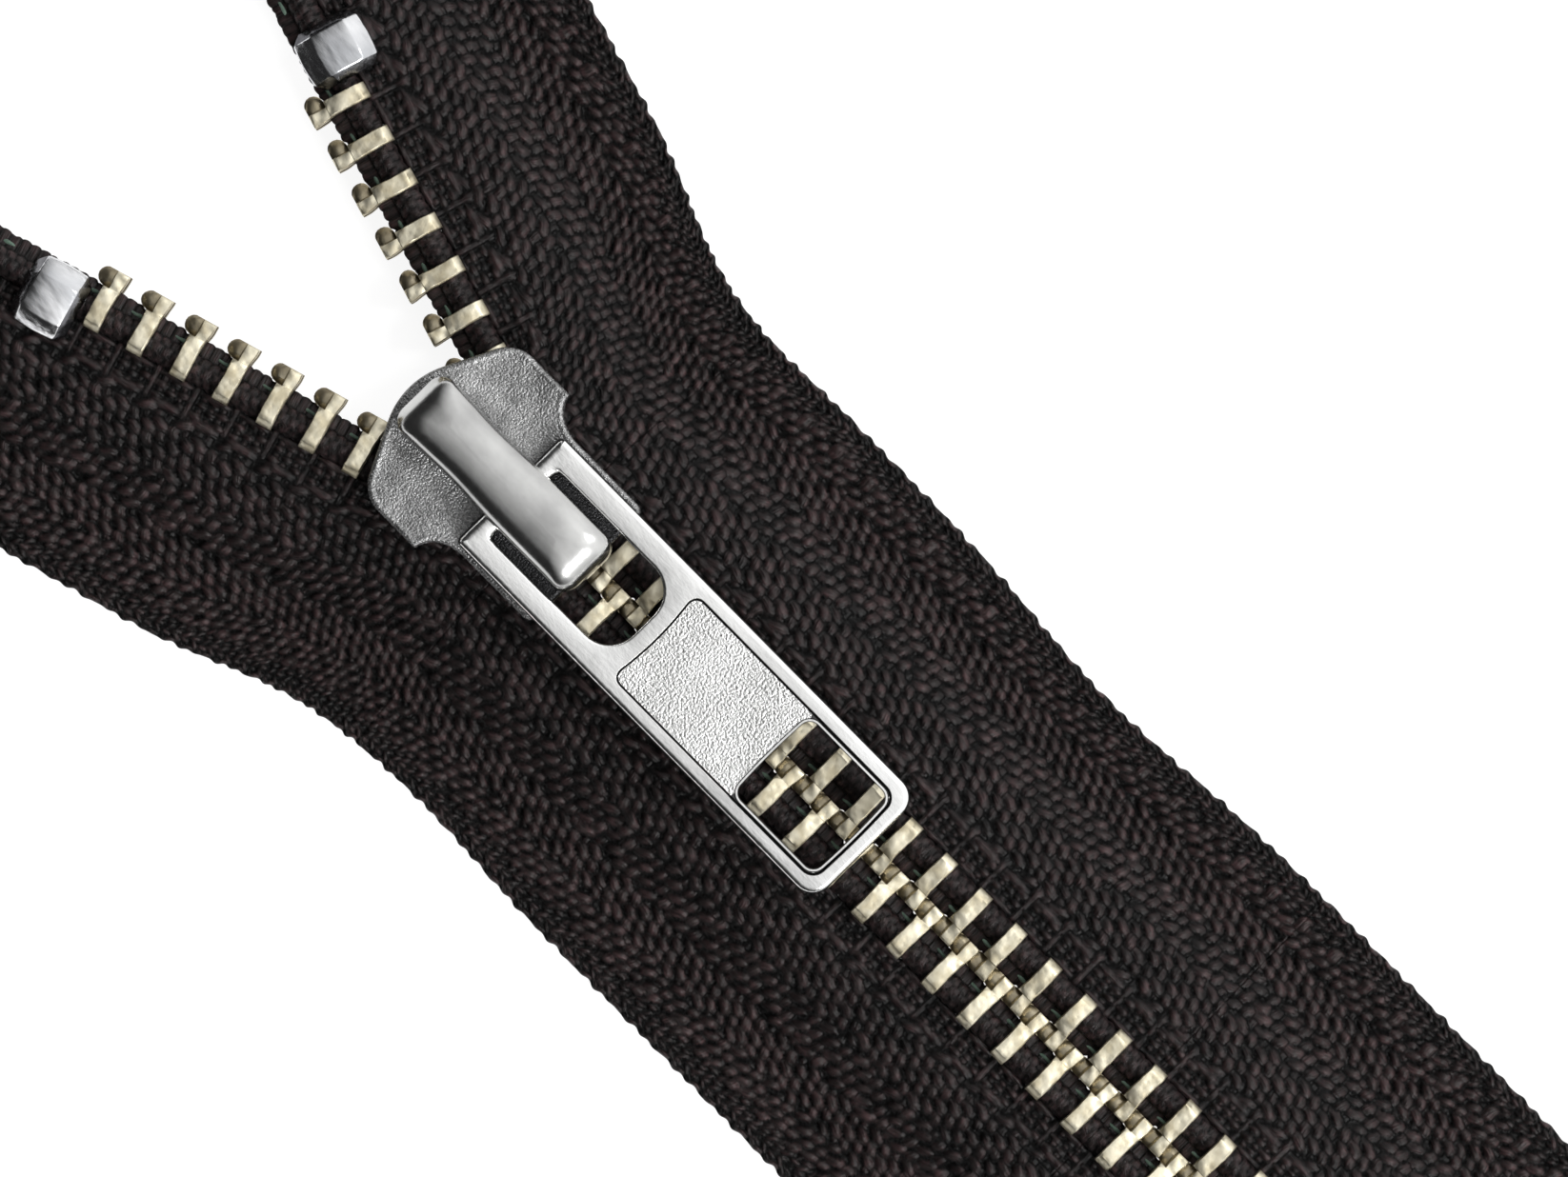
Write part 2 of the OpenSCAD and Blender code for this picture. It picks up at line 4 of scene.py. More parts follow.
import bmesh
import bpy
import numpy as np
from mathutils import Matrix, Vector

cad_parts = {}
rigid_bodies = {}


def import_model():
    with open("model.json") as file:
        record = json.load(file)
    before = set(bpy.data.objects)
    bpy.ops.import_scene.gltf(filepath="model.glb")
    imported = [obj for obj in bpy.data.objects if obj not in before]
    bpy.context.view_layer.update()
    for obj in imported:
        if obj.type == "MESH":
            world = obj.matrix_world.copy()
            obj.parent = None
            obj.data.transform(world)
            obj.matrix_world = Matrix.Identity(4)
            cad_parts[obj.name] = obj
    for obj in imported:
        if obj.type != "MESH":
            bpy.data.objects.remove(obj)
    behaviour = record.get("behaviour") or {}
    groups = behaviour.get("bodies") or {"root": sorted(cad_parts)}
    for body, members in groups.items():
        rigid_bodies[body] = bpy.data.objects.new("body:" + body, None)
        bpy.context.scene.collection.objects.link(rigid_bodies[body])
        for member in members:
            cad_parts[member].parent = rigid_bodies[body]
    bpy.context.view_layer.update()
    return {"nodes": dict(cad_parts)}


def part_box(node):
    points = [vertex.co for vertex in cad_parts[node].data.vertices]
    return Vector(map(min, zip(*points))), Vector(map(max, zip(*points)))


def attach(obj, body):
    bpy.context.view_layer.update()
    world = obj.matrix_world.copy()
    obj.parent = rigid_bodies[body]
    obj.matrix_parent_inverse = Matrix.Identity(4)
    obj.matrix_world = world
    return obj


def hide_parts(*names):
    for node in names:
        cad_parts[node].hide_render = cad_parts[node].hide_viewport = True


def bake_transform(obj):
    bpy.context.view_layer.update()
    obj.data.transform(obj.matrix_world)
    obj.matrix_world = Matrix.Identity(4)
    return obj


for thing in list(bpy.data.objects):
    bpy.data.objects.remove(thing)
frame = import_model()
nodes = frame["nodes"]

# ---- Camera ----
# A long lens looks straight down on the slider and the chain below it. The chain
# runs across the view from the upper left to the lower right.
MM = 0.001
TAIL_Y = -3.65
shift_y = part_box("slider_body")[0].y / MM - TAIL_Y
view_middle = (6.55, -11.65)
view_width = 82.3
view_level = 2.4
lens_mm = 200.0
sensor_mm = 36.0
view_turn = -44.65


def place(x, y, z):
    """A point of the part, in mm from where the rows begin to part, as a point of the frame."""
    return Vector((x * MM, (y + shift_y) * MM, z * MM))


camera = bpy.data.objects.new("camera", bpy.data.cameras.new("camera"))
bpy.context.scene.collection.objects.link(camera)
camera.data.lens = lens_mm
camera.data.sensor_width = sensor_mm
camera.data.clip_start = 0.01
camera.data.clip_end = 10.0
camera.location = place(*view_middle, view_width * lens_mm / sensor_mm + view_level)
camera.rotation_euler = (0.0, 0.0, math.radians(view_turn))
bpy.context.scene.camera = camera
bpy.context.scene.view_settings.view_transform = "Standard"

# ---- Table and light ----
# A white table top under the zipper, a small soft lamp over its right side, a stronger
# one beyond its bottom end, and a pale room round them that is darker on the left.
table_half, table_z = 1600.0, -0.02
table_white = (0.86, 0.86, 0.86, 1.0)
glow_white = (1.0, 1.0, 1.0, 1.0)
glow_strength, glow_share = 1.24, 0.72
lamps = [
    # name, place in m in the frame, size in m, power in W
    ("key", (0.34, -0.22, 0.54), 0.14, 1.1),
    ("low", (-0.10, -0.50, 0.46), 0.18, 2.2),
]
bright_side = (0.75, -0.45, 0.48)
side_from, side_to = -0.10, 0.85
room_dark, room_bright = 0.03, 1.25


def adder(tree):
    """A function that adds a node to the tree. Its inputs are sockets to link or values to
    set, and its settings are properties of the node or inputs by name."""
    def add(kind, inputs=(), **settings):
        node = tree.nodes.new("ShaderNode" + kind)
        for key, value in settings.items():
            if hasattr(node, key):
                setattr(node, key, value)
            else:
                node.inputs[key].default_value = value
        for key, value in dict(inputs).items():
            if isinstance(value, bpy.types.NodeSocket):
                tree.links.new(value, node.inputs[key])
            else:
                node.inputs[key].default_value = value
        return node

    return add


def material(name):
    """A new material, its node tree, its surface shader and a function that adds a node."""
    made = bpy.data.materials.new(name)
    made.use_nodes = True
    tree = made.node_tree
    return made, tree, tree.nodes["Principled BSDF"], adder(tree)


def product(add, a, b):
    return add("Math", {0: a, 1: b}, operation="MULTIPLY").outputs[0]


def build(name, points, faces, finish):
    """A smooth mesh piece from points in mm. A point's y is counted along the chain."""
    mesh = bpy.data.meshes.new(name)
    points = np.asarray(points, float) * MM
    points[:, 1] += shift_y * MM
    mesh.from_pydata(points.tolist(), [], faces if isinstance(faces, list) else faces.tolist())
    mesh.materials.append(finish)
    mesh.polygons.foreach_set("use_smooth", [True] * len(mesh.polygons))
    mesh.update()
    piece = bpy.data.objects.new(name, mesh)
    bpy.context.scene.collection.objects.link(piece)
    return piece


table_top, tree, shader, add = material("white_table")
shader.inputs["Base Color"].default_value = table_white
shader.inputs["Roughness"].default_value = 0.8
shader.inputs["Specular IOR Level"].default_value = 0.1
path = add("LightPath")
seen = add("Math", {0: path.outputs["Is Camera Ray"], 1: path.outputs["Is Glossy Ray"]},
           operation="MAXIMUM")
glow = add("Emission", Color=glow_white, Strength=glow_strength)
mixed = add("MixShader", {0: product(add, seen.outputs[0], glow_share),
                          1: shader.outputs[0], 2: glow.outputs[0]})
tree.links.new(mixed.outputs[0], tree.nodes["Material Output"].inputs["Surface"])
corners = [(-1, -1), (1, -1), (1, 1), (-1, 1)]
table = build("table", [(x * table_half, y * table_half, table_z) for x, y in corners],
              [(0, 1, 2, 3)], table_top)

for name, spot, size, power in lamps:
    lamp = bpy.data.lights.new(name, "AREA")
    lamp.size = size
    lamp.energy = power
    holder = bpy.data.objects.new(name, lamp)
    bpy.context.scene.collection.objects.link(holder)
    holder.location = spot
    holder.rotation_euler = (-Vector(spot)).to_track_quat("-Z", "Y").to_euler()

room = bpy.data.worlds.new("room")
bpy.context.scene.world = room
room.use_nodes = True
add = adder(room.node_tree)
aim = add("VectorMath", {0: add("TexCoord").outputs["Generated"], 1: bright_side},
          operation="DOT_PRODUCT")
brightness = add("MapRange", {"Value": aim.outputs["Value"],
                              "From Min": side_from, "From Max": side_to,
                              "To Min": room_dark, "To Max": room_bright},
                 interpolation_type="SMOOTHSTEP")
background = room.node_tree.nodes["Background"]
room.node_tree.links.new(brightness.outputs[0], background.inputs["Color"])
background.inputs["Strength"].default_value = 1.0

# ---- Tapes ----
# Each tape is a narrow band of dark polyester, woven in a broken twill: every yarn
# floats over two and under two, and the slant turns about every five ends. A firm
# ribbed strip runs beside the cord, and the outer edge is a looped selvedge.
CHAIN_Z = 2.35
TAPE_LOW, TAPE_HIGH = -87.2, 44.61
TAPE_IN, TAPE_OUT = 2.74, 15.2
SPLIT_LOW, SPLIT_HIGH = -43.4, -0.6
FLARE, FLARE_LEN = math.radians(16.0), 9.6
pick = 0.583
first_end = 2.92
strip_ends, strip_step, strip_gap = 6, 0.31, 0.42
end_steps = [0.45] * 10 + [0.42] * 5 + [0.38] * 6 + [0.30] * 4
selvedge_ends = 5
band_edges = [5.0, 7.8, 9.9, 12.2, 14.4]
# how far each end of the strip stands out over four picks in turn
strip_ribs = [[-0.7, 1, 1, 1], [-0.7, -2, 2, -2], [-0.7, 2, -2, 2],
              [-0.7, -2, 2, -2], [-0.7, 2, -2, 2], [-0.7, 1, 1, 1]]
columns_per_end, rows_per_pick = 4, 5
yarn_rise, yarn_round, yarn_reach = 0.20, 0.28, 1.07
tape_skin, skin_least = 0.145, 0.02
lean_end, lean_pick = 0.085, 0.06
pressed_to, pressed_share, pressed_rise = 6.3, 0.85, 0.24
shelf_out, slope_width = 6.1, 3.6
# near black: painted shade in the gaps between the floats
fabric_gap_shade = (0.0005, 0.0004, 0.0004, 1.0)
fabric_light = (0.078, 0.047, 0.048, 1.0)
fabric_cool = (0.054, 0.041, 0.040, 1.0)


def share(c, start=0.0, length=FLARE_LEN):
    """Share of the full flare at the place c along a row that bends over length from start."""
    t = np.clip((c - start) / length, 0, 1)
    return t * t * (3 - 2 * t)


def on_row(side, out, c, angle):
    """x and y of a point that lies out from the row's axis and c along it, turned by angle."""
    x = side * (out * np.cos(angle) + c * np.sin(angle))
    return x, c * np.cos(angle) - out * np.sin(angle)


def lay_tape(side, out, c):
    """x, y and middle height of the laid tape. Its outer edge bends earlier than the row."""
    k = np.clip((out - TAPE_IN) / (TAPE_OUT - TAPE_IN), 0, 1)
    turn = FLARE * share(c, -8.0 * k, FLARE_LEN + 14.4 * k)
    # the right tape draws in a little below the slider, and both lie in slight waves
    pull, where, spread = (0.75, -28.0, 8.0) if side > 0 else (0.35, -7.0, 5.0)
    slack = np.clip((out - 5.0) / 10.0, 0, 1) ** 2
    drawn = out + slack * (0.25 - pull * np.exp(-(((c - where) / spread) ** 2)))
    x, y = on_row(side, drawn, c, turn)
    fall = np.clip((out - shelf_out + 0.6) / (slope_width + 2.4), 0, 1)
    drop = (CHAIN_Z - 0.26) * (0.5 * fall + 0.5 * share(fall, 0.0, 1.0))
    wave = 0.10 * slack * (1 + np.sin(c * 0.21 + side) * np.cos(c * 0.083 + 2 * side))
    return x, y, CHAIN_Z - drop + wave


def between(table, spot):
    """Values and slopes along the last axis of a table, eased over three entries, so that
    every float rises as a dome."""
    values = slopes = 0.0
    first = np.floor(spot).astype(int)
    for k in (-1, 0, 1, 2):
        entry = table[..., np.clip(first + k, 0, table.shape[-1] - 1)]
        away = math.pi / 1.5 * np.clip(spot - first - k, -1.5, 1.5)
        values = values + entry * (1 + np.cos(away)) / 3
        slopes = slopes - entry * np.sin(away) * math.pi / 4.5
    return values, slopes


def dome(gap):
    """Height across a yarn, where gap is 0 on its middle line and about 1 at its side."""
    return yarn_round * (np.sqrt(np.clip(1.15 - gap * gap, 0, 2)) - yarn_reach)


def yarn_skin(side, ends, over, lean, out, t, chance):
    """Height of the woven skin on a grid of places out (across) and t (in picks), with the
    place of each point on its own yarn. over[i, k] is above 0 where end i passes over pick k."""
    half_end, half_pick = 0.64 * np.gradient(ends), 0.56 * pick
    plump = 1 + 0.45 * np.clip((ends - 9.0) / 2.0, 0, 1) * np.clip((15.0 - ends) / 0.6, 0, 1)
    at_end = np.interp(out, ends, np.arange(len(ends)))
    best = np.full((len(t), len(out)), -9.0)
    strand = np.zeros((len(t), len(out), 3))
    rough = chance.normal(0.0, 0.070, over.shape)
    drift = chance.normal(0.0, 0.055, (len(ends), over.shape[1] // 5 + 3))
    near_end = np.rint(at_end).astype(int)
    near_pick = np.rint(t).astype(int)

    def lay(level, gap, spot):
        """Keeps this yarn wherever it is the highest so far."""
        wins = (level > best) & (np.abs(gap) < yarn_reach)
        best[wins] = level[wins]
        for axis, value in enumerate(spot):
            strand[..., axis] = np.where(wins, value, strand[..., axis])

    rise_e, slope_e = between(over, t)
    rough_e, _ = between(rough, t)
    drift_e, _ = between(drift, t / 5)
    for d in (-1, 0, 1):
        i = np.clip(near_end + d, 0, len(ends) - 1)
        rise, slope = rise_e[i].T, slope_e[i].T
        middle = ends[i] + drift_e[i].T - side * lean[i] * lean_end * slope
        gap = (out - middle) / (half_end[i] * (0.90 + 0.16 * np.clip(rise, -1, 1)))
        level = yarn_rise * (rise + 0.22 * rise * slope) * plump[i] + rough_e[i].T + dome(gap)
        lay(level, gap, (gap * half_end[i], (t * pick)[:, None], 0.7 * i))
    rise_p, slope_p = between(-over.T, at_end)
    rough_p, _ = between(rough.T, at_end)
    lean_at = np.interp(at_end, np.arange(len(ends)), lean)
    slim = 0.62 + 0.38 * np.clip(at_end - strip_ends + 1, 0, 1)
    for d in (-1, 0, 1):
        k = np.clip(near_pick + d, 0, over.shape[1] - 1)
        rise, slope = rise_p[k], slope_p[k]
        middle = k[:, None] * pick - side * lean_at * lean_pick * slope
        width = half_pick * slim * (0.86 + 0.18 * np.clip(rise, -1, 1))
        gap = ((t * pick)[:, None] - middle) / width
        level = yarn_rise * rise * plump[near_end] + rough_p[k] + dome(gap)
        lay(level, gap, (gap * half_pick, out, 0.7 * k[:, None] + 40))
    return np.clip(best, skin_least - tape_skin, None), strand


def ramp(add, value, low, high, to_low=0.0, to_high=1.0):
    """The value spread from low..high to to_low..to_high."""
    return add("MapRange", {"Value": value, "From Min": low, "From Max": high,
                            "To Min": to_low, "To Max": to_high}).outputs[0]


def tint(add, amount, none, full):
    """A colour from none to full by the amount. Either may be another node's colour."""
    return add("Mix", {"Factor": amount, 6: none, 7: full}, data_type="RGBA").outputs[2]


def yarn_finish(name):
    """Dull twisted yarn: painted shade between the floats, from each yarn's height, with fine
    filaments along each one.
    """
    made, tree, shader, add = material(name)
    strand = add("Attribute", attribute_name="strand").outputs["Vector"]
    height = add("Attribute", attribute_name="rise").outputs["Fac"]
    where = add("TexCoord").outputs["Object"]
    lie = add("Mapping", {"Vector": strand}, Scale=(9.0, 1.7, 1.0))
    twist = add("VectorMath", {0: strand, 1: (1.0, 0.42, 0.0)}, operation="DOT_PRODUCT")
    skew = add("CombineXYZ", {"X": twist.outputs["Value"]})
    skewed = add("VectorMath", {0: lie.outputs[0], 1: skew.outputs[0]}, operation="ADD")
    filament = add("TexNoise", {"Vector": skewed.outputs[0]}, Scale=1.0, Detail=2.0)
    fuzz = add("TexNoise", {"Vector": where}, Scale=5200.0, Detail=3.0)
    mottle = add("TexNoise", {"Vector": where}, Scale=1500.0, Detail=1.0)
    speck = add("TexNoise", {"Vector": where}, Scale=2300.0, Detail=1.0)
    patch = ramp(add, mottle.outputs["Fac"], 0.34, 0.66, 0.45)
    streak = ramp(add, filament.outputs["Fac"], 0.30, 0.70, 0.35)
    # the lower the yarn lies, the darker it is painted: painted shade in the gaps, with random
    # patches and filament streaks
    tone = product(add, ramp(add, height, 0.00, 0.25), product(add, patch, streak))
    hue = ramp(add, speck.outputs["Fac"], 0.40, 0.62)
    colour = tint(add, tone, fabric_gap_shade, tint(add, hue, fabric_cool, fabric_light))
    tree.links.new(colour, shader.inputs["Base Color"])
    shader.inputs["Roughness"].default_value = 0.38
    shader.inputs["Specular IOR Level"].default_value = 0.20
    shader.inputs["Sheen Weight"].default_value = 0.02
    shader.inputs["Sheen Roughness"].default_value = 0.4
    fine = add("Bump", {"Height": fuzz.outputs["Fac"]}, Strength=0.35, Distance=0.00003)
    ridged = add("Bump", {"Height": filament.outputs["Fac"], "Normal": fine.outputs[0]},
                 Strength=1.0, Distance=0.00007)
    tree.links.new(ridged.outputs[0], shader.inputs["Normal"])
    return made


def mark(piece, key, values):
    """Keeps a number or a vector at each point of the piece, for its material to read."""
    flat = np.asarray(values).reshape(len(piece.data.vertices), -1).astype(np.float32)
    kind, field = ("FLOAT_VECTOR", "vector") if flat.shape[1] == 3 else ("FLOAT", "value")
    piece.data.attributes.new(key, kind, "POINT").data.foreach_set(field, flat.ravel())


def woven(name, grids, strands, rises, finish):
    """One mesh from an upper and a lower grid of points, joined all round their edges."""
    rows, cols = grids[0].shape[:2]
    index = np.arange(rows * cols).reshape(rows, cols)
    quads = np.stack([index[:-1, :-1], index[:-1, 1:], index[1:, 1:], index[1:, :-1]], -1)
    quads = quads.reshape(-1, 4)
    under = quads[:, ::-1] + rows * cols
    rim = np.concatenate([index[0, :], index[1:, -1], index[-1, -2::-1], index[-2:0:-1, 0]])
    after = np.roll(rim, -1)
    edge = np.stack([after, rim, rim + rows * cols, after + rows * cols], -1)
    points = np.concatenate([g.reshape(-1, 3) for g in grids])
    piece = build(name, points, np.concatenate([quads, under, edge]), finish)
    mark(piece, "strand", np.concatenate(strands))
    # the height of each point on its yarn sets the painted shade between the floats
    mark(piece, "rise", np.concatenate(rises))
    return piece


def lay_on_joints(piece, part, word):
    """The middle part moves with its row; the lower and the upper part keep their places in the
    frame."""
    if part == "lower":
        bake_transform(piece)
    elif part == "middle":
        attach(piece, f"{word}_row")
    else:
        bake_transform(piece)


tape_finish = yarn_finish("woven_polyester")
last_in_strip = first_end + strip_step * (strip_ends - 1)
end_places = np.concatenate([first_end + strip_step * np.arange(strip_ends),
                             last_in_strip + strip_gap + np.cumsum([0.0] + end_steps)])
end_count = len(end_places)
columns = np.interp(np.linspace(0, end_count - 1, (end_count - 1) * columns_per_end + 1),
                    np.arange(end_count), end_places)
columns = np.unique(np.concatenate([[TAPE_IN], columns, [end_places[-1] + 0.1, TAPE_OUT]]))
picks = np.arange(int((TAPE_HIGH - TAPE_LOW) / pick) + 8)
for side, word in ((-1, "left"), (1, "right")):
    lean = np.where(np.searchsorted(band_edges, end_places) % 2 == 1, 1.0, -1.0)
    lean[:strip_ends] = 0.0
    phase = np.zeros(end_count, int)
    for i in range(strip_ends, end_count):
        turned = i > strip_ends and lean[i] != lean[i - 1]
        phase[i] = phase[i - 1] + (2 if turned else -int(side * lean[i]))
    over = np.where((picks[None, :] - phase[:, None]) % 4 < 2, 1.0, -1.0)
    for i in range(strip_ends):
        over[i] = np.array(strip_ribs[i])[picks % 4]
    for i in range(end_count - selvedge_ends, end_count):
        over[i] = np.where((picks + i) % 2, 1.6, -1.6)
    for part, low, high in (("lower", TAPE_LOW, SPLIT_LOW), ("middle", SPLIT_LOW, SPLIT_HIGH),
                            ("upper", SPLIT_HIGH, TAPE_HIGH)):
        rows = np.linspace(low, high, int((high - low) / pick * rows_per_pick) + 1)
        t = (rows - TAPE_LOW) / pick + 2
        skin, strand = yarn_skin(side, end_places, over, lean, columns, t,
                                 np.random.default_rng(7 + side))
        back, back_strand = yarn_skin(side, end_places, -over, lean, columns, t,
                                      np.random.default_rng(17 + side))
        # the floats that run through the slider's slot are pressed flatter
        pressed = columns < pressed_to
        for layer in (skin, back):
            layer[:, pressed] = np.minimum(layer[:, pressed] * pressed_share, pressed_rise)
        loop = 0.05 * np.cos(math.pi * t) + 0.03 * np.sin(rows * 3.1) + 0.03 * np.sin(rows * 7.3)
        out = columns + np.clip((columns - 14.5) / 0.7, 0, 1) ** 2 * (loop[:, None] - 0.1)
        thin = np.sqrt(np.clip(1 - np.clip((columns - 14.75) / 0.48, 0, 1) ** 2, 0.02, 1))
        x, y, middle = lay_tape(side, out, rows[:, None])
        top = np.stack([x, y, middle + (tape_skin + skin) * thin], -1)
        bottom = np.stack([x, y, np.maximum(middle - (tape_skin + back) * thin, 0.0)], -1)
        grids, strands, rises = ([layer[:, ::side] for layer in pair] for pair in (
            (top, bottom), (strand, back_strand), (skin, back)))
        tape = woven(f"tape_{part}_{word}", grids, strands, rises, tape_finish)
        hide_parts(f"tape_{word}")
        lay_on_joints(tape, part, word)

# ---- Cords ----
# A firm round cord runs along the inner edge of each tape. The tape's picks wrap over
# it, so between two teeth it shows short ribs that lie across it. A web of yarn joins
# it to the tape.
PITCH = 2.6
CORD_OUT, CORD_R = 2.0, 0.80
cord_round = 40
cord_step = pick / 6
cord_crowd = 0.8
ribs_round = 8
web_reach, web_notch, web_width = 0.74, 0.12, 0.21
WEB_GAPS = {"left": 10.4, "right": 11.7}
cord_finish = yarn_finish("corded_polyester")


def tube(name, side, out, low, high, step, around, radius, finish, crowd=0.0,
         lift=lambda c: 0 * c):
    """A closed tube that follows the row at the place out, with its radius given at each
    place along and around. Returns it with those places."""
    rows = np.linspace(low, high, int((high - low) / step) + 1)
    angle = 2 * math.pi * np.arange(around) / around
    angle = -(angle - crowd * np.sin(angle))
    r = radius(rows[:, None], angle[None, :])
    x, y = on_row(side, out - r * np.cos(angle), rows[:, None], FLARE * share(rows)[:, None])
    points = np.stack([x, y, CHAIN_Z + lift(rows)[:, None] + r * np.sin(angle)], -1)
    index = np.arange(len(rows) * around).reshape(len(rows), around)
    after = np.roll(index, -1, axis=1)
    quads = np.stack([index[:-1], after[:-1], after[1:], index[1:]], -1).reshape(-1, 4)
    faces = quads[:, ::-side].tolist()
    faces.append(index[0][::side].tolist())
    faces.append(index[-1][::-side].tolist())
    return build(name, points.reshape(-1, 3), faces, finish), rows[:, None], angle[None, :]


def rib(c, angle):
    """Rise of the wrapped picks: rounded ribs whose crossings change sides every half turn."""
    across = angle / (2 * math.pi) * ribs_round
    shift = 0.5 * np.round(across) + 0.12 * np.sin(5 * across + 0.7 * c)
    ridge = np.abs(np.cos(math.pi * ((c - TAPE_LOW) / pick + shift)))
    column = np.abs(np.cos(math.pi * across))
    return 0.14 * np.sqrt(ridge) * (0.25 + 0.75 * np.sqrt(column)) - 0.075


def rib_strand(c, angle):
    """Place of each point on its own wrapped pick."""
    t = (c - TAPE_LOW) / pick + 0.5 * np.round(angle / (2 * math.pi) * ribs_round)
    turn = np.rint(t) * 0.7 + np.round(angle)
    return np.stack([(t - np.rint(t)) * pick, angle * CORD_R + 0 * t, turn], -1)


def cord_radius(c, angle, word):
    """The ribbed cord, drawn out into the web on the side that faces the tape."""
    aside = (angle + math.pi) % (2 * math.pi) - math.pi
    web = web_reach - web_notch * np.cos(math.pi * (c - WEB_GAPS[word]) / PITCH) ** 60
    return CORD_R - 0.03 + rib(c, angle) + web * np.exp(-(aside / web_width) ** 2)


halves = (("lower", TAPE_LOW, SPLIT_LOW), ("upper", SPLIT_LOW, TAPE_HIGH))
for side, word in ((-1, "left"), (1, "right")):
    for part, low, high in halves:
        cord, c, angle = tube(f"cord_{part}_{word}", side, CORD_OUT, low, high, cord_step,
                              cord_round, lambda c, a: cord_radius(c, a, word), cord_finish,
                              cord_crowd)
        mark(cord, "strand", rib_strand(c, angle))
        # the rib height sets the painted shade between the ribs
        mark(cord, "rise", 0.08 + 2 * rib(c, angle))
        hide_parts(f"cord_{word}")
        lay_on_joints(cord, part, word)

# ---- Marker threads ----
# A pale green two-ply thread lies on the inner side of each cord. It shows in the gaps
# between the teeth.
THREAD_OUT, THREAD_R = 1.02, 0.12
THREAD_SHOWS = {"left": 10.55, "right": 11.75}
thread_green = (0.12, 0.19, 0.14, 1.0)
thread_shade = (0.03, 0.06, 0.045, 1.0)
thread_lay = 0.9
thread_step, thread_round = 0.15, 10

thread_finish, tree, shader, add = material("green_thread")
twist = add("TexNoise", {"Vector": add("TexCoord").outputs["Object"]}, Scale=2600.0, Detail=2.0)
tree.links.new(tint(add, twist.outputs["Fac"], thread_shade, thread_green),
               shader.inputs["Base Color"])
shader.inputs["Roughness"].default_value = 0.6
shader.inputs["Sheen Weight"].default_value = 0.2
fine = add("Bump", {"Height": twist.outputs["Fac"]}, Strength=0.5, Distance=0.00003)
tree.links.new(fine.outputs[0], shader.inputs["Normal"])


def thread_radius(c, angle):
    return THREAD_R * (0.86 + 0.14 * np.cos(2 * angle + 2 * math.pi * c / thread_lay))


for side, word in ((-1, "left"), (1, "right")):
    for part, low, high in halves:
        thread, _, _ = tube(
            f"marker_thread_{part}_{word}", side, THREAD_OUT, low, high, thread_step,
            thread_round, thread_radius, thread_finish,
            lift=lambda c: 0.06 + 0.15 * np.cos(math.pi * (c - THREAD_SHOWS[word]) / PITCH) ** 8)
        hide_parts(f"marker_thread_{word}")
        lay_on_joints(thread, part, word)

# ---- Teeth ----
# Each tooth is stamped from pale brass wire and crimped on the cord: two jaws hold the
# cord, and the head past them carries a nib on one side and a pocket on the other.
TOOTH_OUT, TOOTH_T = 2.9, 0.92
JAW_H, HEAD_H = 1.25, 1.05
NIB_Y, NIB_R = 0.55, 0.52
POCKET_Y, POCKET_R, POCKET_H = -0.75, 0.60, 0.505
BORE_R, BORE_THREAD, SLOT = 0.86, 0.18, 0.285
FIRST_TOOTH = {"left": 9.8, "right": 11.1}
OPEN_TEETH = {"left": 7, "right": 6}
ROW_TEETH, CHAIN_LOW = 31, -68.5
tooth_brass = (0.90, 0.84, 0.66, 1.0)
tooth_dull = (0.66, 0.59, 0.42, 1.0)
# the brown of the painted shade low on each tooth
tooth_shade_brown = (0.28, 0.24, 0.165, 1.0)

brass, tree, shader, add = material("pale_brass")
where = add("TexCoord").outputs["Object"]
blotch = add("TexNoise", {"Vector": where}, Scale=1300.0, Detail=3.0)
facet = add("TexVoronoi", {"Vector": where}, Scale=2400.0, feature="SMOOTH_F1")
scratch = add("TexNoise", {"Vector": where}, Scale=7500.0, Detail=4.0)
colour = tint(add, ramp(add, blotch.outputs["Fac"], 0.40, 0.66), tooth_brass, tooth_dull)
# low down on its sides and on the nib the brass is painted darker and browner: painted shade
height = add("SeparateXYZ", {"Vector": where}).outputs["Z"]
lit = ramp(add, height, (CHAIN_Z + 0.50) * MM, (CHAIN_Z + 1.00) * MM)
tree.links.new(tint(add, lit, tooth_shade_brown, colour), shader.inputs["Base Color"])
rub = ramp(add, scratch.outputs["Fac"], 0.0, 1.0, 0.32, 0.48)
tree.links.new(rub, shader.inputs["Roughness"])
shader.inputs["Metallic"].default_value = 1.0
dents = add("Bump", {"Height": facet.outputs["Distance"]}, Strength=0.6, Distance=0.00005)
fine = add("Bump", {"Height": scratch.outputs["Fac"], "Normal": dents.outputs[0]},
           Strength=0.3, Distance=0.00002)
tree.links.new(fine.outputs[0], shader.inputs["Normal"])


def ease(a, b, x):
    """0 up to a, 1 from b on, smooth between them."""
    t = np.clip((np.asarray(x, float) - a) / (b - a), 0, 1)
    return t * t * (3 - 2 * t)


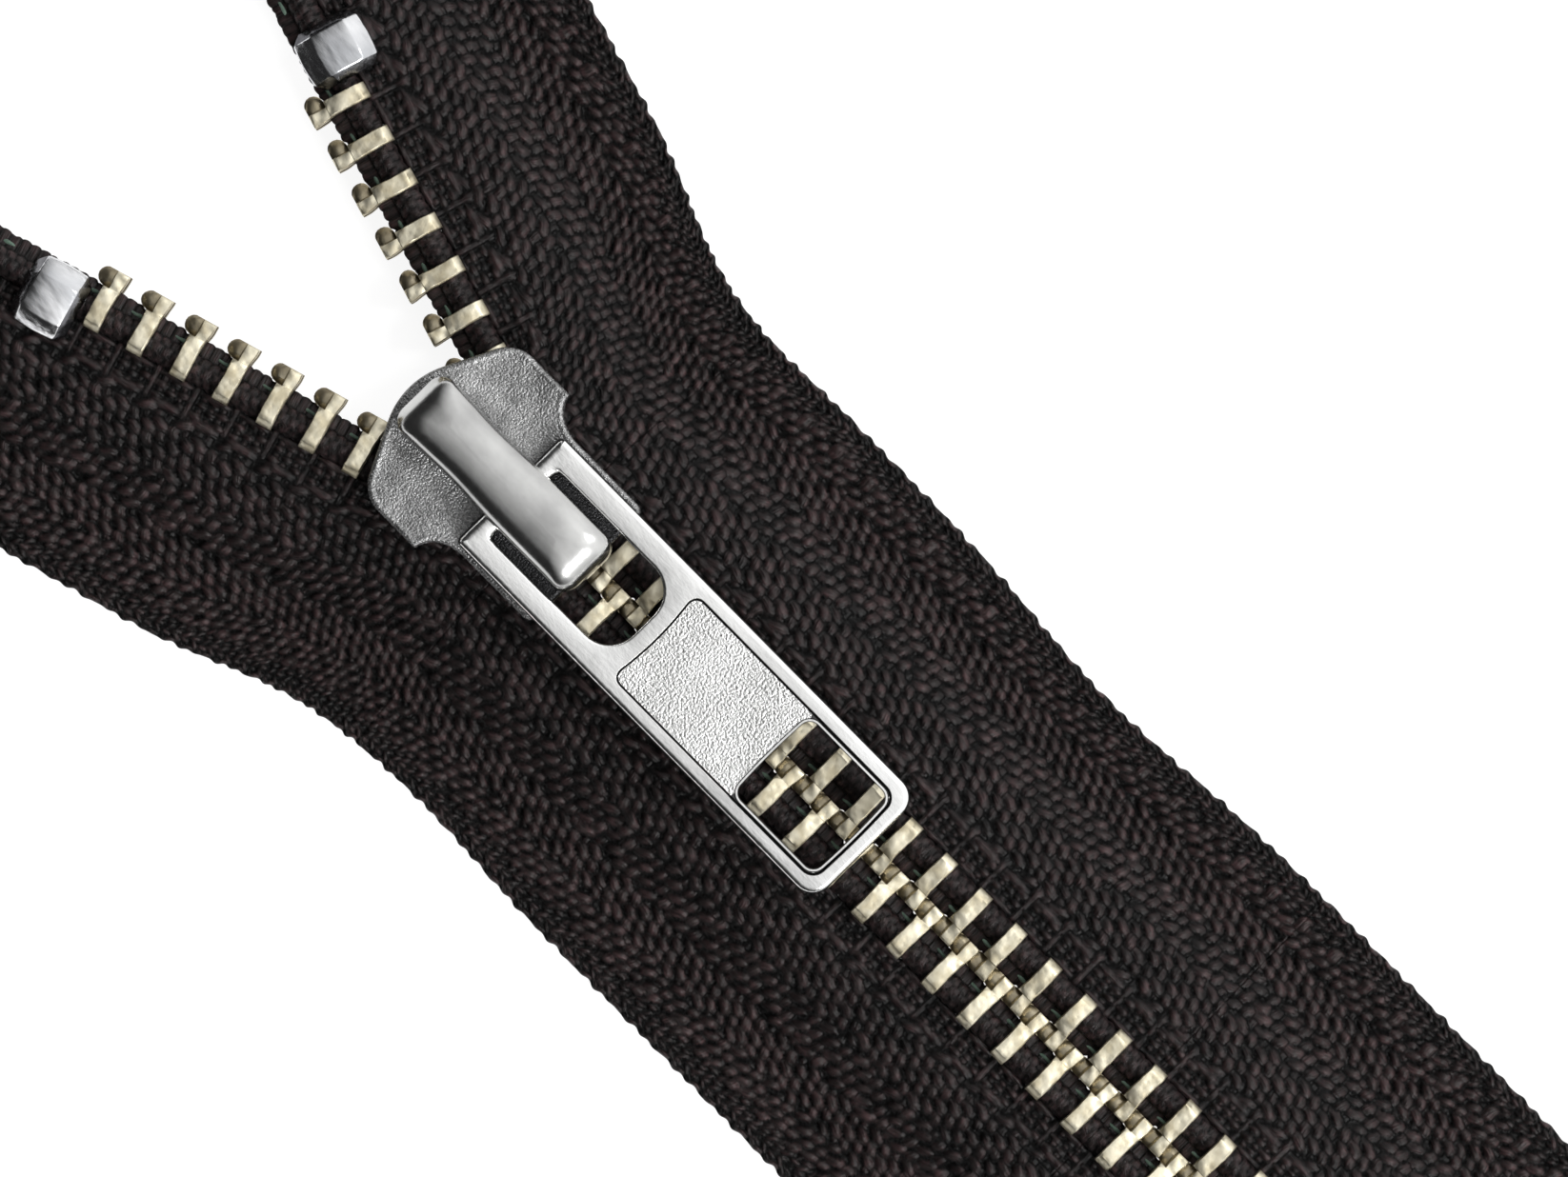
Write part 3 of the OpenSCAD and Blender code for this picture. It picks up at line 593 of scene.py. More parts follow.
def tooth_mesh(seed):
    """Points and faces of one left tooth. A grid of places on it carries the face of its
    upper half and the bore, slot and pocket under that face; the lower half mirrors it."""
    hits = np.random.default_rng(seed)
    wave = hits.uniform(0, 6.28, 6)
    x = np.array([-2.9, -2.84, -2.56, -2.50, -2.3, -2.0, -1.7, -1.45, -1.25, -1.14, -0.98,
                  -0.82, -0.66, -0.55, -0.51, -0.46, -0.36, -0.2, 0.0, 0.2, 0.36, 0.44, 0.5])
    low_y = -TOOTH_T / 2 - 0.12 * ease(-0.9, 0.3, x)
    nib_y = NIB_Y + np.sqrt(np.clip(NIB_R ** 2 - x ** 2, 0, 1))
    edge_y = TOOTH_T / 2 - 0.04 - 0.30 * ease(-0.80, -0.50, x)
    high_y = np.where(np.abs(x) < NIB_R, nib_y, TOOTH_T / 2)
    rows = [0.0, 0.04, 0.10, 0.3, 0.5, 0.7, 0.9, 1.0]
    past = [0.05, 0.12, 0.35, 0.6, 0.8, 0.93, 1.0]
    y = np.array([low_y + (edge_y - low_y) * q for q in rows]
                 + [edge_y + (high_y - edge_y) * q for q in past]).T
    grid_x = x[:, None] + 0 * y
    plateau = np.interp(x, [-1.7, -1.25, -0.6, 0.1, 0.5], [JAW_H, 1.22, 1.12, 1.06, HEAD_H])
    plateau = plateau - np.interp(x, [-2.9, -2.84, -2.56, -2.50], [0.50, 0.40, 0.03, 0.0])
    plateau = plateau - 0.10 * ease(0.40, 0.52, x)
    q = np.array(rows + [1 + v for v in past])[None, :]
    top = plateau[:, None] - 0.09 * np.clip(1 - q / 0.1, 0, 1) ** 1.5 - 0.03 * ease(0.8, 1.0, q)
    on_nib = (np.abs(x) < NIB_R)[:, None]
    depth = np.clip(q - 1, 0, 1)
    nib = 0.56 - 0.22 * ease(0.45, 1.0, depth) - 0.14 * ease(0.25, 0.52, np.abs(grid_x))
    fall = ease(0.0, 0.12, depth)
    top = np.where(on_nib, (top - 0.03) * (1 - fall) + nib * fall, top - 0.07 * depth)
    knock = (0.020 * np.sin(2.9 * grid_x + 3.0 * y + wave[0])
             + 0.008 * np.sin(7.0 * grid_x - 6.0 * y + wave[1]))
    crinkle = 0.026 * np.sin(9.0 * grid_x + wave[2]) * np.sin(6.0 * y + wave[3])
    knock = knock + crinkle * ease(-1.3, -0.9, grid_x)
    top = np.maximum(top + knock, 0.30)
    y = y + 0.016 * np.sin(2.6 * grid_x + wave[4]) + 0.008 * np.sin(7.7 * grid_x + wave[5])
    # under the face: the bore for the cord and its slot, and the pocket for the next nib
    bore = np.sqrt(np.clip(BORE_R ** 2 - (grid_x + CORD_OUT) ** 2, 0, 1))
    slotted = np.where(grid_x < -1.13, bore, 0.0)
    under = np.where(grid_x < -CORD_OUT, np.maximum(bore, SLOT), slotted)
    notch = (grid_x > -1.2) & (grid_x < -0.9)
    under = np.where(notch, np.maximum(under, BORE_THREAD), under)
    in_pocket = grid_x ** 2 + (y - POCKET_Y) ** 2 < POCKET_R ** 2
    under = np.where(in_pocket, POCKET_H, under)
    under = np.minimum(under, top - 0.10)
    n, m = y.shape
    index = np.arange(n * m).reshape(n, m)
    cells = np.stack([index[:-1, :-1], index[1:, :-1], index[1:, 1:], index[:-1, 1:]], -1)
    cells = cells.reshape(-1, 4)
    hollow = cells[(under.ravel()[cells] > 0).any(1)][:, ::-1] + n * m
    rim = np.concatenate([index[:, 0], index[-1, 1:], index[-2::-1, -1], index[0, -2:0:-1]])
    after = np.roll(rim, -1)
    walls = np.stack([rim, rim + n * m, after + n * m, after], -1)
    half = np.concatenate([cells, hollow, walls])
    points = np.concatenate([np.stack([grid_x, y, z], -1).reshape(-1, 3) for z in (top, under)])
    return (np.concatenate([points, points * (1, 1, -1)]),
            np.concatenate([half, half[:, ::-1] + 2 * n * m]))


def clean(piece, sharp):
    """Welds the mesh, turns its faces outwards and keeps edges over sharp degrees crisp."""
    mesh = bmesh.new()
    mesh.from_mesh(piece.data)
    bmesh.ops.remove_doubles(mesh, verts=mesh.verts, dist=1e-6)
    bmesh.ops.recalc_face_normals(mesh, faces=mesh.faces)
    mesh.to_mesh(piece.data)
    mesh.free()
    piece.data.polygons.foreach_set("use_smooth", [True] * len(piece.data.polygons))
    piece.data.set_sharp_from_angle(angle=math.radians(sharp))
    return piece


def teeth(name, side, places):
    """One piece of teeth crimped at the places along a row."""
    points, faces, count = [], [], 0
    for c in places:
        p, f = tooth_mesh(int(2000 + 10 * c + side))
        x, y = on_row(side, -p[:, 0], c + p[:, 1], FLARE * float(share(c)))
        points.append(np.stack([x, y, CHAIN_Z + p[:, 2]], -1))
        faces.append(f[:, ::-side] + count)
        count += len(p)
    piece = clean(build(name, np.concatenate(points), np.concatenate(faces), brass), 28)
    return piece


for side, word in ((-1, "left"), (1, "right")):
    first, count = FIRST_TOOTH[word], OPEN_TEETH[word]
    for number in range(1, count + 1):
        tooth = teeth(f"open_tooth_{word}_{number:02d}", side, [first + (count - number) * PITCH])
        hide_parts(f"tooth_{word}_{number:02d}")
        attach(tooth, f"{word}_end")
    row = [first - k * PITCH for k in range(1, ROW_TEETH + 1)]
    channel = teeth(f"channel_teeth_{word}", side, [c for c in row if 0 < c <= FLARE_LEN])
    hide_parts(f"teeth_{word}_channel")
    lay_on_joints(channel, "upper", word)
    closed = [c for c in row if CHAIN_LOW < c <= 0]
    upper = teeth(f"closed_teeth_{word}", side, [c for c in closed if c > SPLIT_LOW])
    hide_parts(f"teeth_{word}_closed")
    lay_on_joints(upper, "middle", word)
    lower = teeth(f"closed_teeth_lower_{word}", side, [c for c in closed if c <= SPLIT_LOW])
    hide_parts(f"teeth_{word}_closed")
    lay_on_joints(lower, "lower", word)

# ---- Stops ----
# A top stop is a short bright aluminium barrel with long flats, squeezed over the cord
# and the edge of the tape. The bottom stop is a wider clamp round both cords.
STOP_H, STOP_W = 1.45, 3.9
STOP_OUT = -TOOTH_OUT - 1.5
STOP_PAST = 2.56
LOW_STOP_Y, LOW_STOP_W = -70.6, 3.1
bore_open = math.radians(160.6)
path_steps = 44
# places along each stop, and how far its surface is drawn in there
stop_profile = [(-1.65, 0.58), (-1.62, 0.50), (-1.18, 0.07), (-1.08, 0.02), (-0.5, -0.03),
                (0.0, -0.05), (0.5, -0.03), (1.08, 0.02), (1.18, 0.07), (1.62, 0.50),
                (1.65, 0.58)]
low_stop_profile = [(-1.60, 0.16), (-1.55, 0.06), (-1.42, 0.0), (0.0, -0.02), (1.42, 0.0),
                    (1.55, 0.06), (1.60, 0.16)]
stop_aluminium = (0.90, 0.90, 0.91, 1.0)
stop_grey = (0.50, 0.51, 0.53, 1.0)
# tones of the painted shade on the stops' rounded ends
end_shade_light = (0.22, 0.22, 0.23, 1.0)
end_shade_dark = (0.10, 0.10, 0.11, 1.0)


def metal(name, light, dark, rough, grain, dent, stretch=(1.0, 1.0, 1.0)):
    """Bare metal with cloudy tone, worn gloss and a fine surface. grain and dent are pairs
    of noise scale and bump strength; rough is the least and most roughness."""
    made, tree, shader, add = material(name)
    where = add("Mapping", {"Vector": add("TexCoord").outputs["Object"]}, Scale=stretch)
    cloud, fine, wave = (
        add("TexNoise", {"Vector": where.outputs[0]}, Scale=scale, Detail=detail).outputs["Fac"]
        for scale, detail in ((420.0, 4.0), (grain[0], 2.0), (dent[0], 2.0)))
    tree.links.new(tint(add, ramp(add, cloud, 0.35, 0.65), dark, light),
                   shader.inputs["Base Color"])
    tree.links.new(ramp(add, fine, 0.3, 0.7, *rough), shader.inputs["Roughness"])
    shader.inputs["Metallic"].default_value = 1.0
    dents = add("Bump", {"Height": wave}, Strength=dent[1], Distance=0.0001)
    grained = add("Bump", {"Height": fine, "Normal": dents.outputs[0]},
                  Strength=grain[1], Distance=0.00008)
    tree.links.new(grained.outputs[0], shader.inputs["Normal"])
    return made


def crimped(sections):
    """Points and faces of a clamp: a row of sections, each an outer path round the clamp
    and an inner path back along its bore, closed all round."""
    rows, n = len(sections), len(sections[0][0])
    points = np.array([path for pair in sections for path in pair]).reshape(-1, 3)
    outer = np.arange(rows)[:, None] * 2 * n + np.arange(n)
    inner = outer + n
    faces = []
    for v in range(rows - 1):
        for i in range(n - 1):
            faces.append((outer[v, i], outer[v + 1, i], outer[v + 1, i + 1], outer[v, i + 1]))
            faces.append((inner[v, i], inner[v, i + 1], inner[v + 1, i + 1], inner[v + 1, i]))
        for i, flip in ((0, 1), (n - 1, -1)):
            faces.append((outer[v, i], inner[v, i], inner[v + 1, i], outer[v + 1, i])[::flip])
    for v, flip in ((0, 1), (rows - 1, -1)):
        for i in range(n - 1):
            faces.append((outer[v, i], outer[v, i + 1], inner[v, i + 1], inner[v, i])[::flip])
    return points, np.array(faces)


def along_path(corners):
    """Points spread along a path of corners, with every corner slightly eased."""
    path = np.asarray(corners, float)
    eased = [path[0]]
    for a, b, c in zip(path, path[1:], path[2:]):
        for p in (a, c):
            reach = min(0.10, 0.3 * np.linalg.norm(p - b))
            eased.append(b + (p - b) / np.linalg.norm(p - b) * reach)
        eased.insert(-1, (eased[-1] + eased[-2]) / 2 * 0.5 + b * 0.5)
    eased.append(path[-1])
    eased = np.array(eased)
    while len(eased) < path_steps:
        i = int(np.argmax(np.linalg.norm(np.diff(eased, axis=0), axis=1)))
        eased = np.insert(eased, i + 1, (eased[i] + eased[i + 1]) / 2, axis=0)
    return eased


def section(outer, y, lip):
    """A section of a clamp at y: its outer path and its bore, which opens at x = lip."""
    turn = np.linspace(bore_open, -bore_open, path_steps - 2)
    bore_x = np.concatenate([[lip], -CORD_OUT + BORE_R * np.cos(turn), [lip]])
    bore_z = np.concatenate([[SLOT], BORE_R * np.sin(turn), [-SLOT]])
    along = np.full(path_steps, y)
    return np.stack([outer[:, 0], along, outer[:, 1]], -1), np.stack([bore_x, along, bore_z], -1)


def whole_path(upper):
    """A path of corners and its mirror image below."""
    return upper + [(x, -z) for x, z in upper[::-1]]


stop_end_shade = metal("shaded_stop_ends", end_shade_light, end_shade_dark, (0.12, 0.30), (5200.0, 0.10),
                  (900.0, 0.5))
stop_finish = metal("bright_aluminium", stop_aluminium, stop_grey, (0.10, 0.26),
                    (5200.0, 0.10), (900.0, 0.9), (1.0, 0.35, 1.0))
for side, word in ((-1, "left"), (1, "right")):
    c = FIRST_TOOTH[word] + (OPEN_TEETH[word] - 1) * PITCH + STOP_PAST
    hits = np.random.default_rng(40 + side)
    swell = hits.uniform(-0.05, 0.05, (8, 3))
    swell = np.concatenate([[[0, 0]], swell[:5, :2], swell[:5, 1:] * 0.4, [[0, 0]]])
    sections = []
    for y, cut in stop_profile:
        near, far, top = STOP_OUT + cut, STOP_OUT + STOP_W - cut, STOP_H - cut
        corners = whole_path([
            (near, SLOT), (near, 0.75 - 0.2 * cut), (near + 0.80, top),
            (near + 0.80 + 1.35, top + 0.04 * (cut < 0.3)), (far - 1.0, top - 0.02),
            (far, 0.75 - 0.2 * cut)])
        sections.append(section(along_path(np.array(corners) + swell * (cut < 0.3)), y, near))
    p, f = crimped(sections)
    x, y = on_row(side, -p[:, 0], c + p[:, 1], FLARE * float(share(c)))
    stop = build(f"crimped_stop_{word}", np.stack([x, y, CHAIN_Z + p[:, 2]], -1), f, stop_finish)
    # the rounded ends of each stop take a much darker metal: painted shade
    stop.data.materials.append(stop_end_shade)
    at_end = np.abs(p[f][..., 1].mean(1)) > 1.15
    stop.data.polygons.foreach_set("material_index", at_end.astype(np.int32))
    clean(stop, 32)
    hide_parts(f"top_stop_{word}")
    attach(stop, f"{word}_end")

sections = []
for y, cut in low_stop_profile:
    near = -LOW_STOP_W + cut
    outer = along_path(whole_path([(near, SLOT), (near, 1.0), (-LOW_STOP_W + 0.45, STOP_H - cut),
                                   (0.0, STOP_H - cut)]))
    outer[np.abs(outer[:, 0]) < 0.11, 0] = 0.0
    sections.append(section(outer, y, near))
p, f = crimped(sections)
p = p + (0, LOW_STOP_Y, CHAIN_Z)
both = np.concatenate([p, p * (-1, 1, 1)])
faces = np.concatenate([f, f[:, ::-1] + len(p)])
flat = np.all(np.abs(both[faces][..., 0]) < 1e-6, axis=1)
low_stop = clean(build("crimped_bottom_stop", both, faces[~flat], stop_finish), 32)
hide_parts("bottom_stop")
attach(low_stop, "root")

# ---- Slider body ----
# The slider is cast in zinc and tumbled to a fine grey grain: a top and a bottom plate
# on a wedge that parts the rows, with a flange down each side to hold them.
MOUTH_Y = 9.6
PLATE_T, ROOF_Z, DECK_Z = 0.95, 3.75, 4.70
SHOULDER, TAIL_HALF, TAIL_R = 5.7, 4.2, 0.5
SHOULDER_DROP, WAIST_DROP, SHOULDER_R = 6.2, 8.3, 1.9
CROWN_R, CROWN_SLOPE = 4.5, math.radians(26)
FLANGES = ((PLATE_T - 0.3, 1.90), (2.80, ROOF_Z + 0.3))
PIVOT_Y, PIVOT_Z, BAR_R = 1.55, 5.45, 0.6
POST_TOP = 6.05
PAWL_Y = PIVOT_Y - BAR_R - 1.15 - 0.8
zinc_light = (0.36, 0.36, 0.36, 1.0)
zinc_dark = (0.18, 0.18, 0.18, 1.0)
# painted shade for the deck between the tab's arms
deck_painted_shade = (0.05, 0.05, 0.052, 1.0)


def plate_half(steps=12):
    """Right half of the plate's outline, from the middle of the mouth to the tail."""
    arc_x = CROWN_R * math.sin(CROWN_SLOPE)
    arc_y = MOUTH_Y - CROWN_R * (1 - math.cos(CROWN_SLOPE))
    cx = SHOULDER - SHOULDER_R
    sx = cx + SHOULDER_R * math.sin(CROWN_SLOPE)
    cy = arc_y - (sx - arc_x) * math.tan(CROWN_SLOPE) - SHOULDER_R * math.cos(CROWN_SLOPE)
    crown = np.linspace(0, CROWN_SLOPE, steps)
    shoulder = np.linspace(CROWN_SLOPE, math.pi / 2, steps)
    waist = np.linspace(0.06, 1, steps) * math.pi / 2
    step_in, drop = SHOULDER - TAIL_HALF, WAIST_DROP - SHOULDER_DROP
    points = [(CROWN_R * math.sin(a), MOUTH_Y - CROWN_R * (1 - math.cos(a))) for a in crown]
    points += [(cx + SHOULDER_R * math.sin(a), cy + SHOULDER_R * math.cos(a)) for a in shoulder]
    corner_y = MOUTH_Y - SHOULDER_DROP
    points += [(SHOULDER, corner_y + 0.16), (SHOULDER - 0.03, corner_y + 0.04),
               (SHOULDER - 0.10, corner_y - 0.05)]
    points += [(SHOULDER - step_in * math.sin(a), corner_y - drop * (1 - math.cos(a)))
               for a in waist]
    points += [(TAIL_HALF, y) for y in np.linspace(MOUTH_Y - WAIST_DROP - 0.5, TAIL_Y + 0.6, 6)]
    points += [(TAIL_HALF - TAIL_R + TAIL_R * math.cos(a), TAIL_Y + TAIL_R - TAIL_R * math.sin(a))
               for a in np.linspace(0, math.pi / 2, 6)]
    return points


def mirrored(half):
    """A whole outline, counter-clockwise from above, from its right half."""
    whole = half + [(-x, y) for x, y in half[::-1] if x > 1e-6]
    return np.array(whole[::-1])


def outward(outline):
    """Unit normals that point out of a counter-clockwise outline, lengthened at corners."""
    ahead = np.roll(outline, -1, 0) - outline
    ahead /= np.linalg.norm(ahead, axis=1)[:, None]
    normal = np.stack([ahead[:, 1], -ahead[:, 0]], -1)
    mean = normal + np.roll(normal, 1, 0)
    mean /= np.linalg.norm(mean, axis=1)[:, None]
    return mean / np.clip((mean * normal).sum(1), 0.6, 1)[:, None]


def at_height(outline, z):
    return np.hstack([outline, np.full((len(outline), 1), z)])


def rounding(outline, z, r, steps, down=False):
    """Rings of a rounded edge that ends level at the height z."""
    normal = outward(outline)
    rings = []
    for a in np.linspace(0, math.pi / 2, steps):
        level = z - (-1 if down else 1) * r * (1 - math.sin(a))
        rings.append(at_height(outline - normal * r * (1 - math.cos(a)), level))
    return rings[::-1] if down else rings


def prism(ring, low, high):
    return [at_height(ring, low), at_height(ring, high)]


def block(x0, x1, y0, y1, low, high):
    return prism(np.array([(x0, y0), (x1, y0), (x1, y1), (x0, y1)]), low, high)


def stack(name, rings, finish):
    """A closed piece from rings of equal count, lowest first."""
    n = len(rings[0])
    index = np.arange(n)
    after = np.roll(index, -1)
    faces = []
    for r in range(len(rings) - 1):
        low, high = r * n, (r + 1) * n
        faces += np.stack([index + low, after + low, after + high, index + high], -1).tolist()
    faces.append(index[::-1].tolist())
    faces.append((index + (len(rings) - 1) * n).tolist())
    return build(name, np.concatenate(rings), faces, finish)


def carve(piece, operation, rings, finish):
    """Joins a stack of rings to the piece or cuts it away."""
    other = stack("carver", rings, finish)
    tool = piece.modifiers.new("join", "BOOLEAN")
    tool.operation, tool.object, tool.solver = operation, other, "EXACT"
    graph = bpy.context.evaluated_depsgraph_get()
    result = bpy.data.meshes.new_from_object(piece.evaluated_get(graph))
    piece.modifiers.clear()
    piece.data = result
    bpy.data.objects.remove(other)


zinc = metal("tumbled_zinc", zinc_light, zinc_dark, (0.14, 0.40), (9000.0, 1.0), (2600.0, 0.25))
# between the tab's arms the deck is painted darker: painted shade under the tab and the cover
tree = zinc.node_tree
base_colour = tree.nodes["Principled BSDF"].inputs["Base Color"]
add = adder(tree)
split = add("SeparateXYZ", {0: add("TexCoord").outputs["Object"]})
aside = add("Math", {0: split.outputs["X"]}, operation="ABSOLUTE")
in_x, in_y, in_z = (ramp(add, source, none * MM, full * MM) for source, none, full in (
    (aside.outputs[0], 2.75, 2.45), (split.outputs["Y"], 1.3 + shift_y, 0.9 + shift_y),
    (split.outputs["Z"], DECK_Z - 0.4, DECK_Z - 0.2)))
shaded = tint(add, product(add, product(add, in_x, in_y), in_z),
              base_colour.links[0].from_socket, deck_painted_shade)
tree.links.new(shaded, base_colour)

outline = mirrored(plate_half())
deck_rings = [at_height(outline - outward(outline) * far, DECK_Z + up)
              for far, up in ((0.27, 0.03), (0.34, 0.0), (0.42, -0.01))]
body = stack("cast_slider", rounding(outline, ROOF_Z, 0.15, 4, True)
             + rounding(outline, DECK_Z + 0.03, 0.22, 8) + deck_rings, zinc)
carve(body, "UNION", rounding(outline, 0.0, 0.45, 8, True)
      + rounding(outline, PLATE_T, 0.15, 4), zinc)
steps = np.linspace(0, FLARE_LEN, 16)
lane_x, lane_y = on_row(1, TOOTH_OUT, steps - TOOTH_T / 2, FLARE * share(steps))
half = np.array(plate_half())
ys = np.linspace(TAIL_Y + 0.02, MOUTH_Y - 2.2, 60)
wide = np.interp(ys, half[::-1, 1], half[::-1, 0])
inner = np.where(ys > lane_y[0], np.interp(ys, lane_y, lane_x), TOOTH_OUT) + 0.2
keep = wide - inner > 0.12
inner_line, outer_line = (np.stack([line[keep], ys[keep]], -1) for line in (inner, wide))
flange = np.concatenate([inner_line, outer_line[::-1]])
for ring in (flange * (-1, 1), flange[::-1]):
    for low, high in FLANGES:
        carve(body, "UNION", prism(ring, low, high), zinc)
steps = np.linspace(FLARE_LEN / 2, FLARE_LEN + 0.6, 14)
nib_x, nib_y = on_row(1, 0.0, steps + NIB_Y, FLARE * share(steps))
wedge_x = nib_x - NIB_R - 0.16
keep = (wedge_x > 0.08) & (nib_y < MOUTH_Y - 0.25)
flank = [(float(x), float(y)) for x, y in zip(wedge_x[keep], nib_y[keep])][::-1]
nose_x, nose_y = flank[0]
nose = [(0.0, nose_y + 0.25), (0.55 * nose_x, nose_y + 0.22), (0.88 * nose_x, nose_y + 0.12)]
wedge = mirrored(nose + flank + [(0.0, flank[-1][1] - 0.2)])
carve(body, "UNION", prism(wedge, PLATE_T / 2, ROOF_Z + 0.4), zinc)
for x0, x1, y0, y1 in ((-0.9, 0.9, PIVOT_Y + BAR_R + 0.2, 6.95),
                       (-1.2, 0.45, TAIL_Y + 0.45, PIVOT_Y - BAR_R - 0.2)):
    carve(body, "UNION", block(x0, x1, y0, y1, ROOF_Z + 0.4, POST_TOP), zinc)
carve(body, "DIFFERENCE", block(0.6, 1.5, PAWL_Y - 0.15, PAWL_Y + 0.95, ROOF_Z - 0.6,
                                DECK_Z + 0.6), zinc)
clean(body, 40)
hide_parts("slider_body")
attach(body, "slider")

# ---- Lock spring ----
# A small leaf of spring steel lies on the posts under the cover. Its pawl drops through
# the top plate between the teeth and holds the slider when the tab lies down.
steel_light = (0.52, 0.52, 0.54, 1.0)
steel_dark = (0.36, 0.36, 0.38, 1.0)
spring_steel = metal("spring_steel", steel_light, steel_dark, (0.2, 0.4), (6000.0, 0.15),
                     (900.0, 0.2), (0.2, 1.0, 1.0))
nodes["lock_spring"].data.materials.clear()
nodes["lock_spring"].data.materials.append(spring_steel)

# ---- Cover ----
# The cover is pressed from sheet, a long bar with rounded ends that is hollow below. It
# is crimped to the deck and holds the tab's crossbar and the lock spring.
COVER_LOW, COVER_HIGH = -4.05, 9.0
COVER_HALF, COVER_H = 1.92, 2.75
COVER_SHEET = 0.38
NOTCH_H, NOTCH_HALF = 1.42, BAR_R + 0.2
cover_light = (0.61, 0.61, 0.60, 1.0)
cover_dark = (0.42, 0.42, 0.415, 1.0)


def round_rect(x0, y0, x1, y1, radii, arch=(0, 0), steps=8, straight=6):
    """Counter-clockwise outline with rounded corners, from the lower right corner on. arch
    bows the lower and the upper edge."""
    def line(start, end):
        """Points between two others, without those two."""
        return [tuple(np.array(start) * (1 - t) + np.array(end) * t)
                for t in np.linspace(0, 1, straight + 2)[1:-1]]

    corners = [((x1, y0), -math.pi / 2), ((x1, y1), 0.0), ((x0, y1), math.pi / 2),
               ((x0, y0), math.pi)]
    points = []
    for (corner, start), r in zip(corners, radii):
        cx = corner[0] - r if corner[0] == x1 else corner[0] + r
        cy = corner[1] - r if corner[1] == y1 else corner[1] + r
        arc = [(cx + r * math.cos(a), cy + r * math.sin(a))
               for a in np.linspace(start, start + math.pi / 2, steps)]
        if points:
            points += line(points[-1], arc[0])
        points += arc
    out = np.array(points + line(points[-1], points[0]))
    middle, half = (y0 + y1) / 2, (x1 - x0) / 2
    bow = 1 - ((out[:, 0] - (x0 + x1) / 2) / half) ** 2
    bow = np.where(out[:, 1] < middle, arch[0], arch[1]) * bow
    out[:, 1] += bow * np.abs(out[:, 1] - middle) / ((y1 - y0) / 2)
    return out


def cover_rings(inset):
    """Rings of the cover from its foot to its ridge, drawn smaller all round by inset."""
    outside = inset == 0
    ring = round_rect(-COVER_HALF + inset, COVER_LOW + inset, COVER_HALF - inset,
                      COVER_HIGH - inset, [max(0.95 - inset, 0.3)] * 4, steps=9, straight=22)
    waist = 1 - 0.055 * np.exp(-(((ring[:, 1] - 4.6) / 2.0) ** 2))
    ring = ring * np.stack([waist, np.ones(len(ring))], -1)
    normal = outward(ring)
    steep = normal[:, 1] ** 2
    # how far the rounded sides and ends reach down and in
    side_r, side_slope, end_r, end_slope = (1.05, 1.15, 1.60, 1.80) if outside else (
        0.58, 0.66, 1.0, 1.15)
    r = (side_r - inset) * (1 - steep) + (end_r - inset) * steep
    top = COVER_H - inset - 0.07 * outside
    foot = DECK_Z - (0.0 if outside else 0.6)
    rings = [at_height(ring + normal * flare * outside, foot + up)
             for flare, up in ((0.04, 0.0), (0.02, 0.08), (0.0, 0.22))]
    middle = np.array([0.0, (COVER_LOW + COVER_HIGH) / 2])
    reach = np.array([COVER_HALF, (COVER_HIGH - COVER_LOW) / 2]) - inset
    slope = np.array([side_slope - inset, end_slope - inset])
    for a in np.radians(np.linspace(0, 80, 11)):
        scale = 1 - slope * (1 - math.cos(a)) / reach
        high = DECK_Z + top - (r * (1 - math.sin(a)))[:, None]
        rings.append(np.hstack([middle + (ring - middle) * scale, high]))
    last, last_z = rings[-1][:, :2], rings[-1][:, 2:]
    spine = np.clip(last[:, 1], COVER_LOW + 2.6, COVER_HIGH - 2.6)
    for k in (0.7, 0.4, 0.12):
        point = np.stack([last[:, 0] * k, spine + (last[:, 1] - spine) * k], -1)
        rings.append(np.hstack([point, last_z + 0.085 * (1 - k * k) * outside]))
    return rings


cover_finish = metal("pressed_sheet", cover_light, cover_dark, (0.18, 0.24), (5200.0, 0.03),
                     (620.0, 0.12), (1.0, 0.6, 1.0))
cover = stack("pressed_cover", cover_rings(0), cover_finish)
carve(cover, "DIFFERENCE", cover_rings(COVER_SHEET), cover_finish)
carve(cover, "DIFFERENCE", block(-3, 3, PIVOT_Y - NOTCH_HALF, PIVOT_Y + NOTCH_HALF, DECK_Z - 1,
                                 DECK_Z + NOTCH_H), cover_finish)
clean(cover, 40)
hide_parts("slider_cover")
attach(cover, "slider")

# ---- Pull tab ----
# The tab is stamped and coined from flat metal: two arms and a crossbar round an open
# yoke, a sunk grained panel inside a raised rim, and a window with a fine lip.
TAB_HALF, TAB_LEN, TAB_T = 3.9, 25.9, 0.6
ARM, YOKE_LEN, YOKE_R = 1.4, 9.4, 1.75
WINDOW_HALF, WINDOW_LOW, WINDOW_HIGH = 2.8, -24.8, -18.95
PANEL_HALF, PANEL_LOW, PANEL_HIGH = 3.14, -25.12, -10.05
PANEL_Z, LIP_Z, GROOVE = 0.475, 0.575, 0.09
COINED, PANEL, EDGE_SHADE = 0, 1, 2
tab_light = (0.97, 0.97, 0.96, 1.0)
tab_dark = (0.80, 0.80, 0.79, 1.0)
panel_light = (0.74, 0.74, 0.73, 1.0)
panel_dark = (0.60, 0.60, 0.59, 1.0)
# near black, for the painted shade on the tab's walls and groove
edge_shade_grey = (0.07, 0.07, 0.07, 1.0)


def ring_between(mesh, low, high):
    """Faces between two rings of the same number of points."""
    n = len(low)
    for i in range(n):
        mesh.faces.new((low[i], low[(i + 1) % n], high[(i + 1) % n], high[i]))


def add_ring(mesh, outline, z):
    z = np.broadcast_to(np.asarray(z, float), len(outline))
    return [mesh.verts.new((p[0], p[1], h)) for p, h in zip(outline, z)]


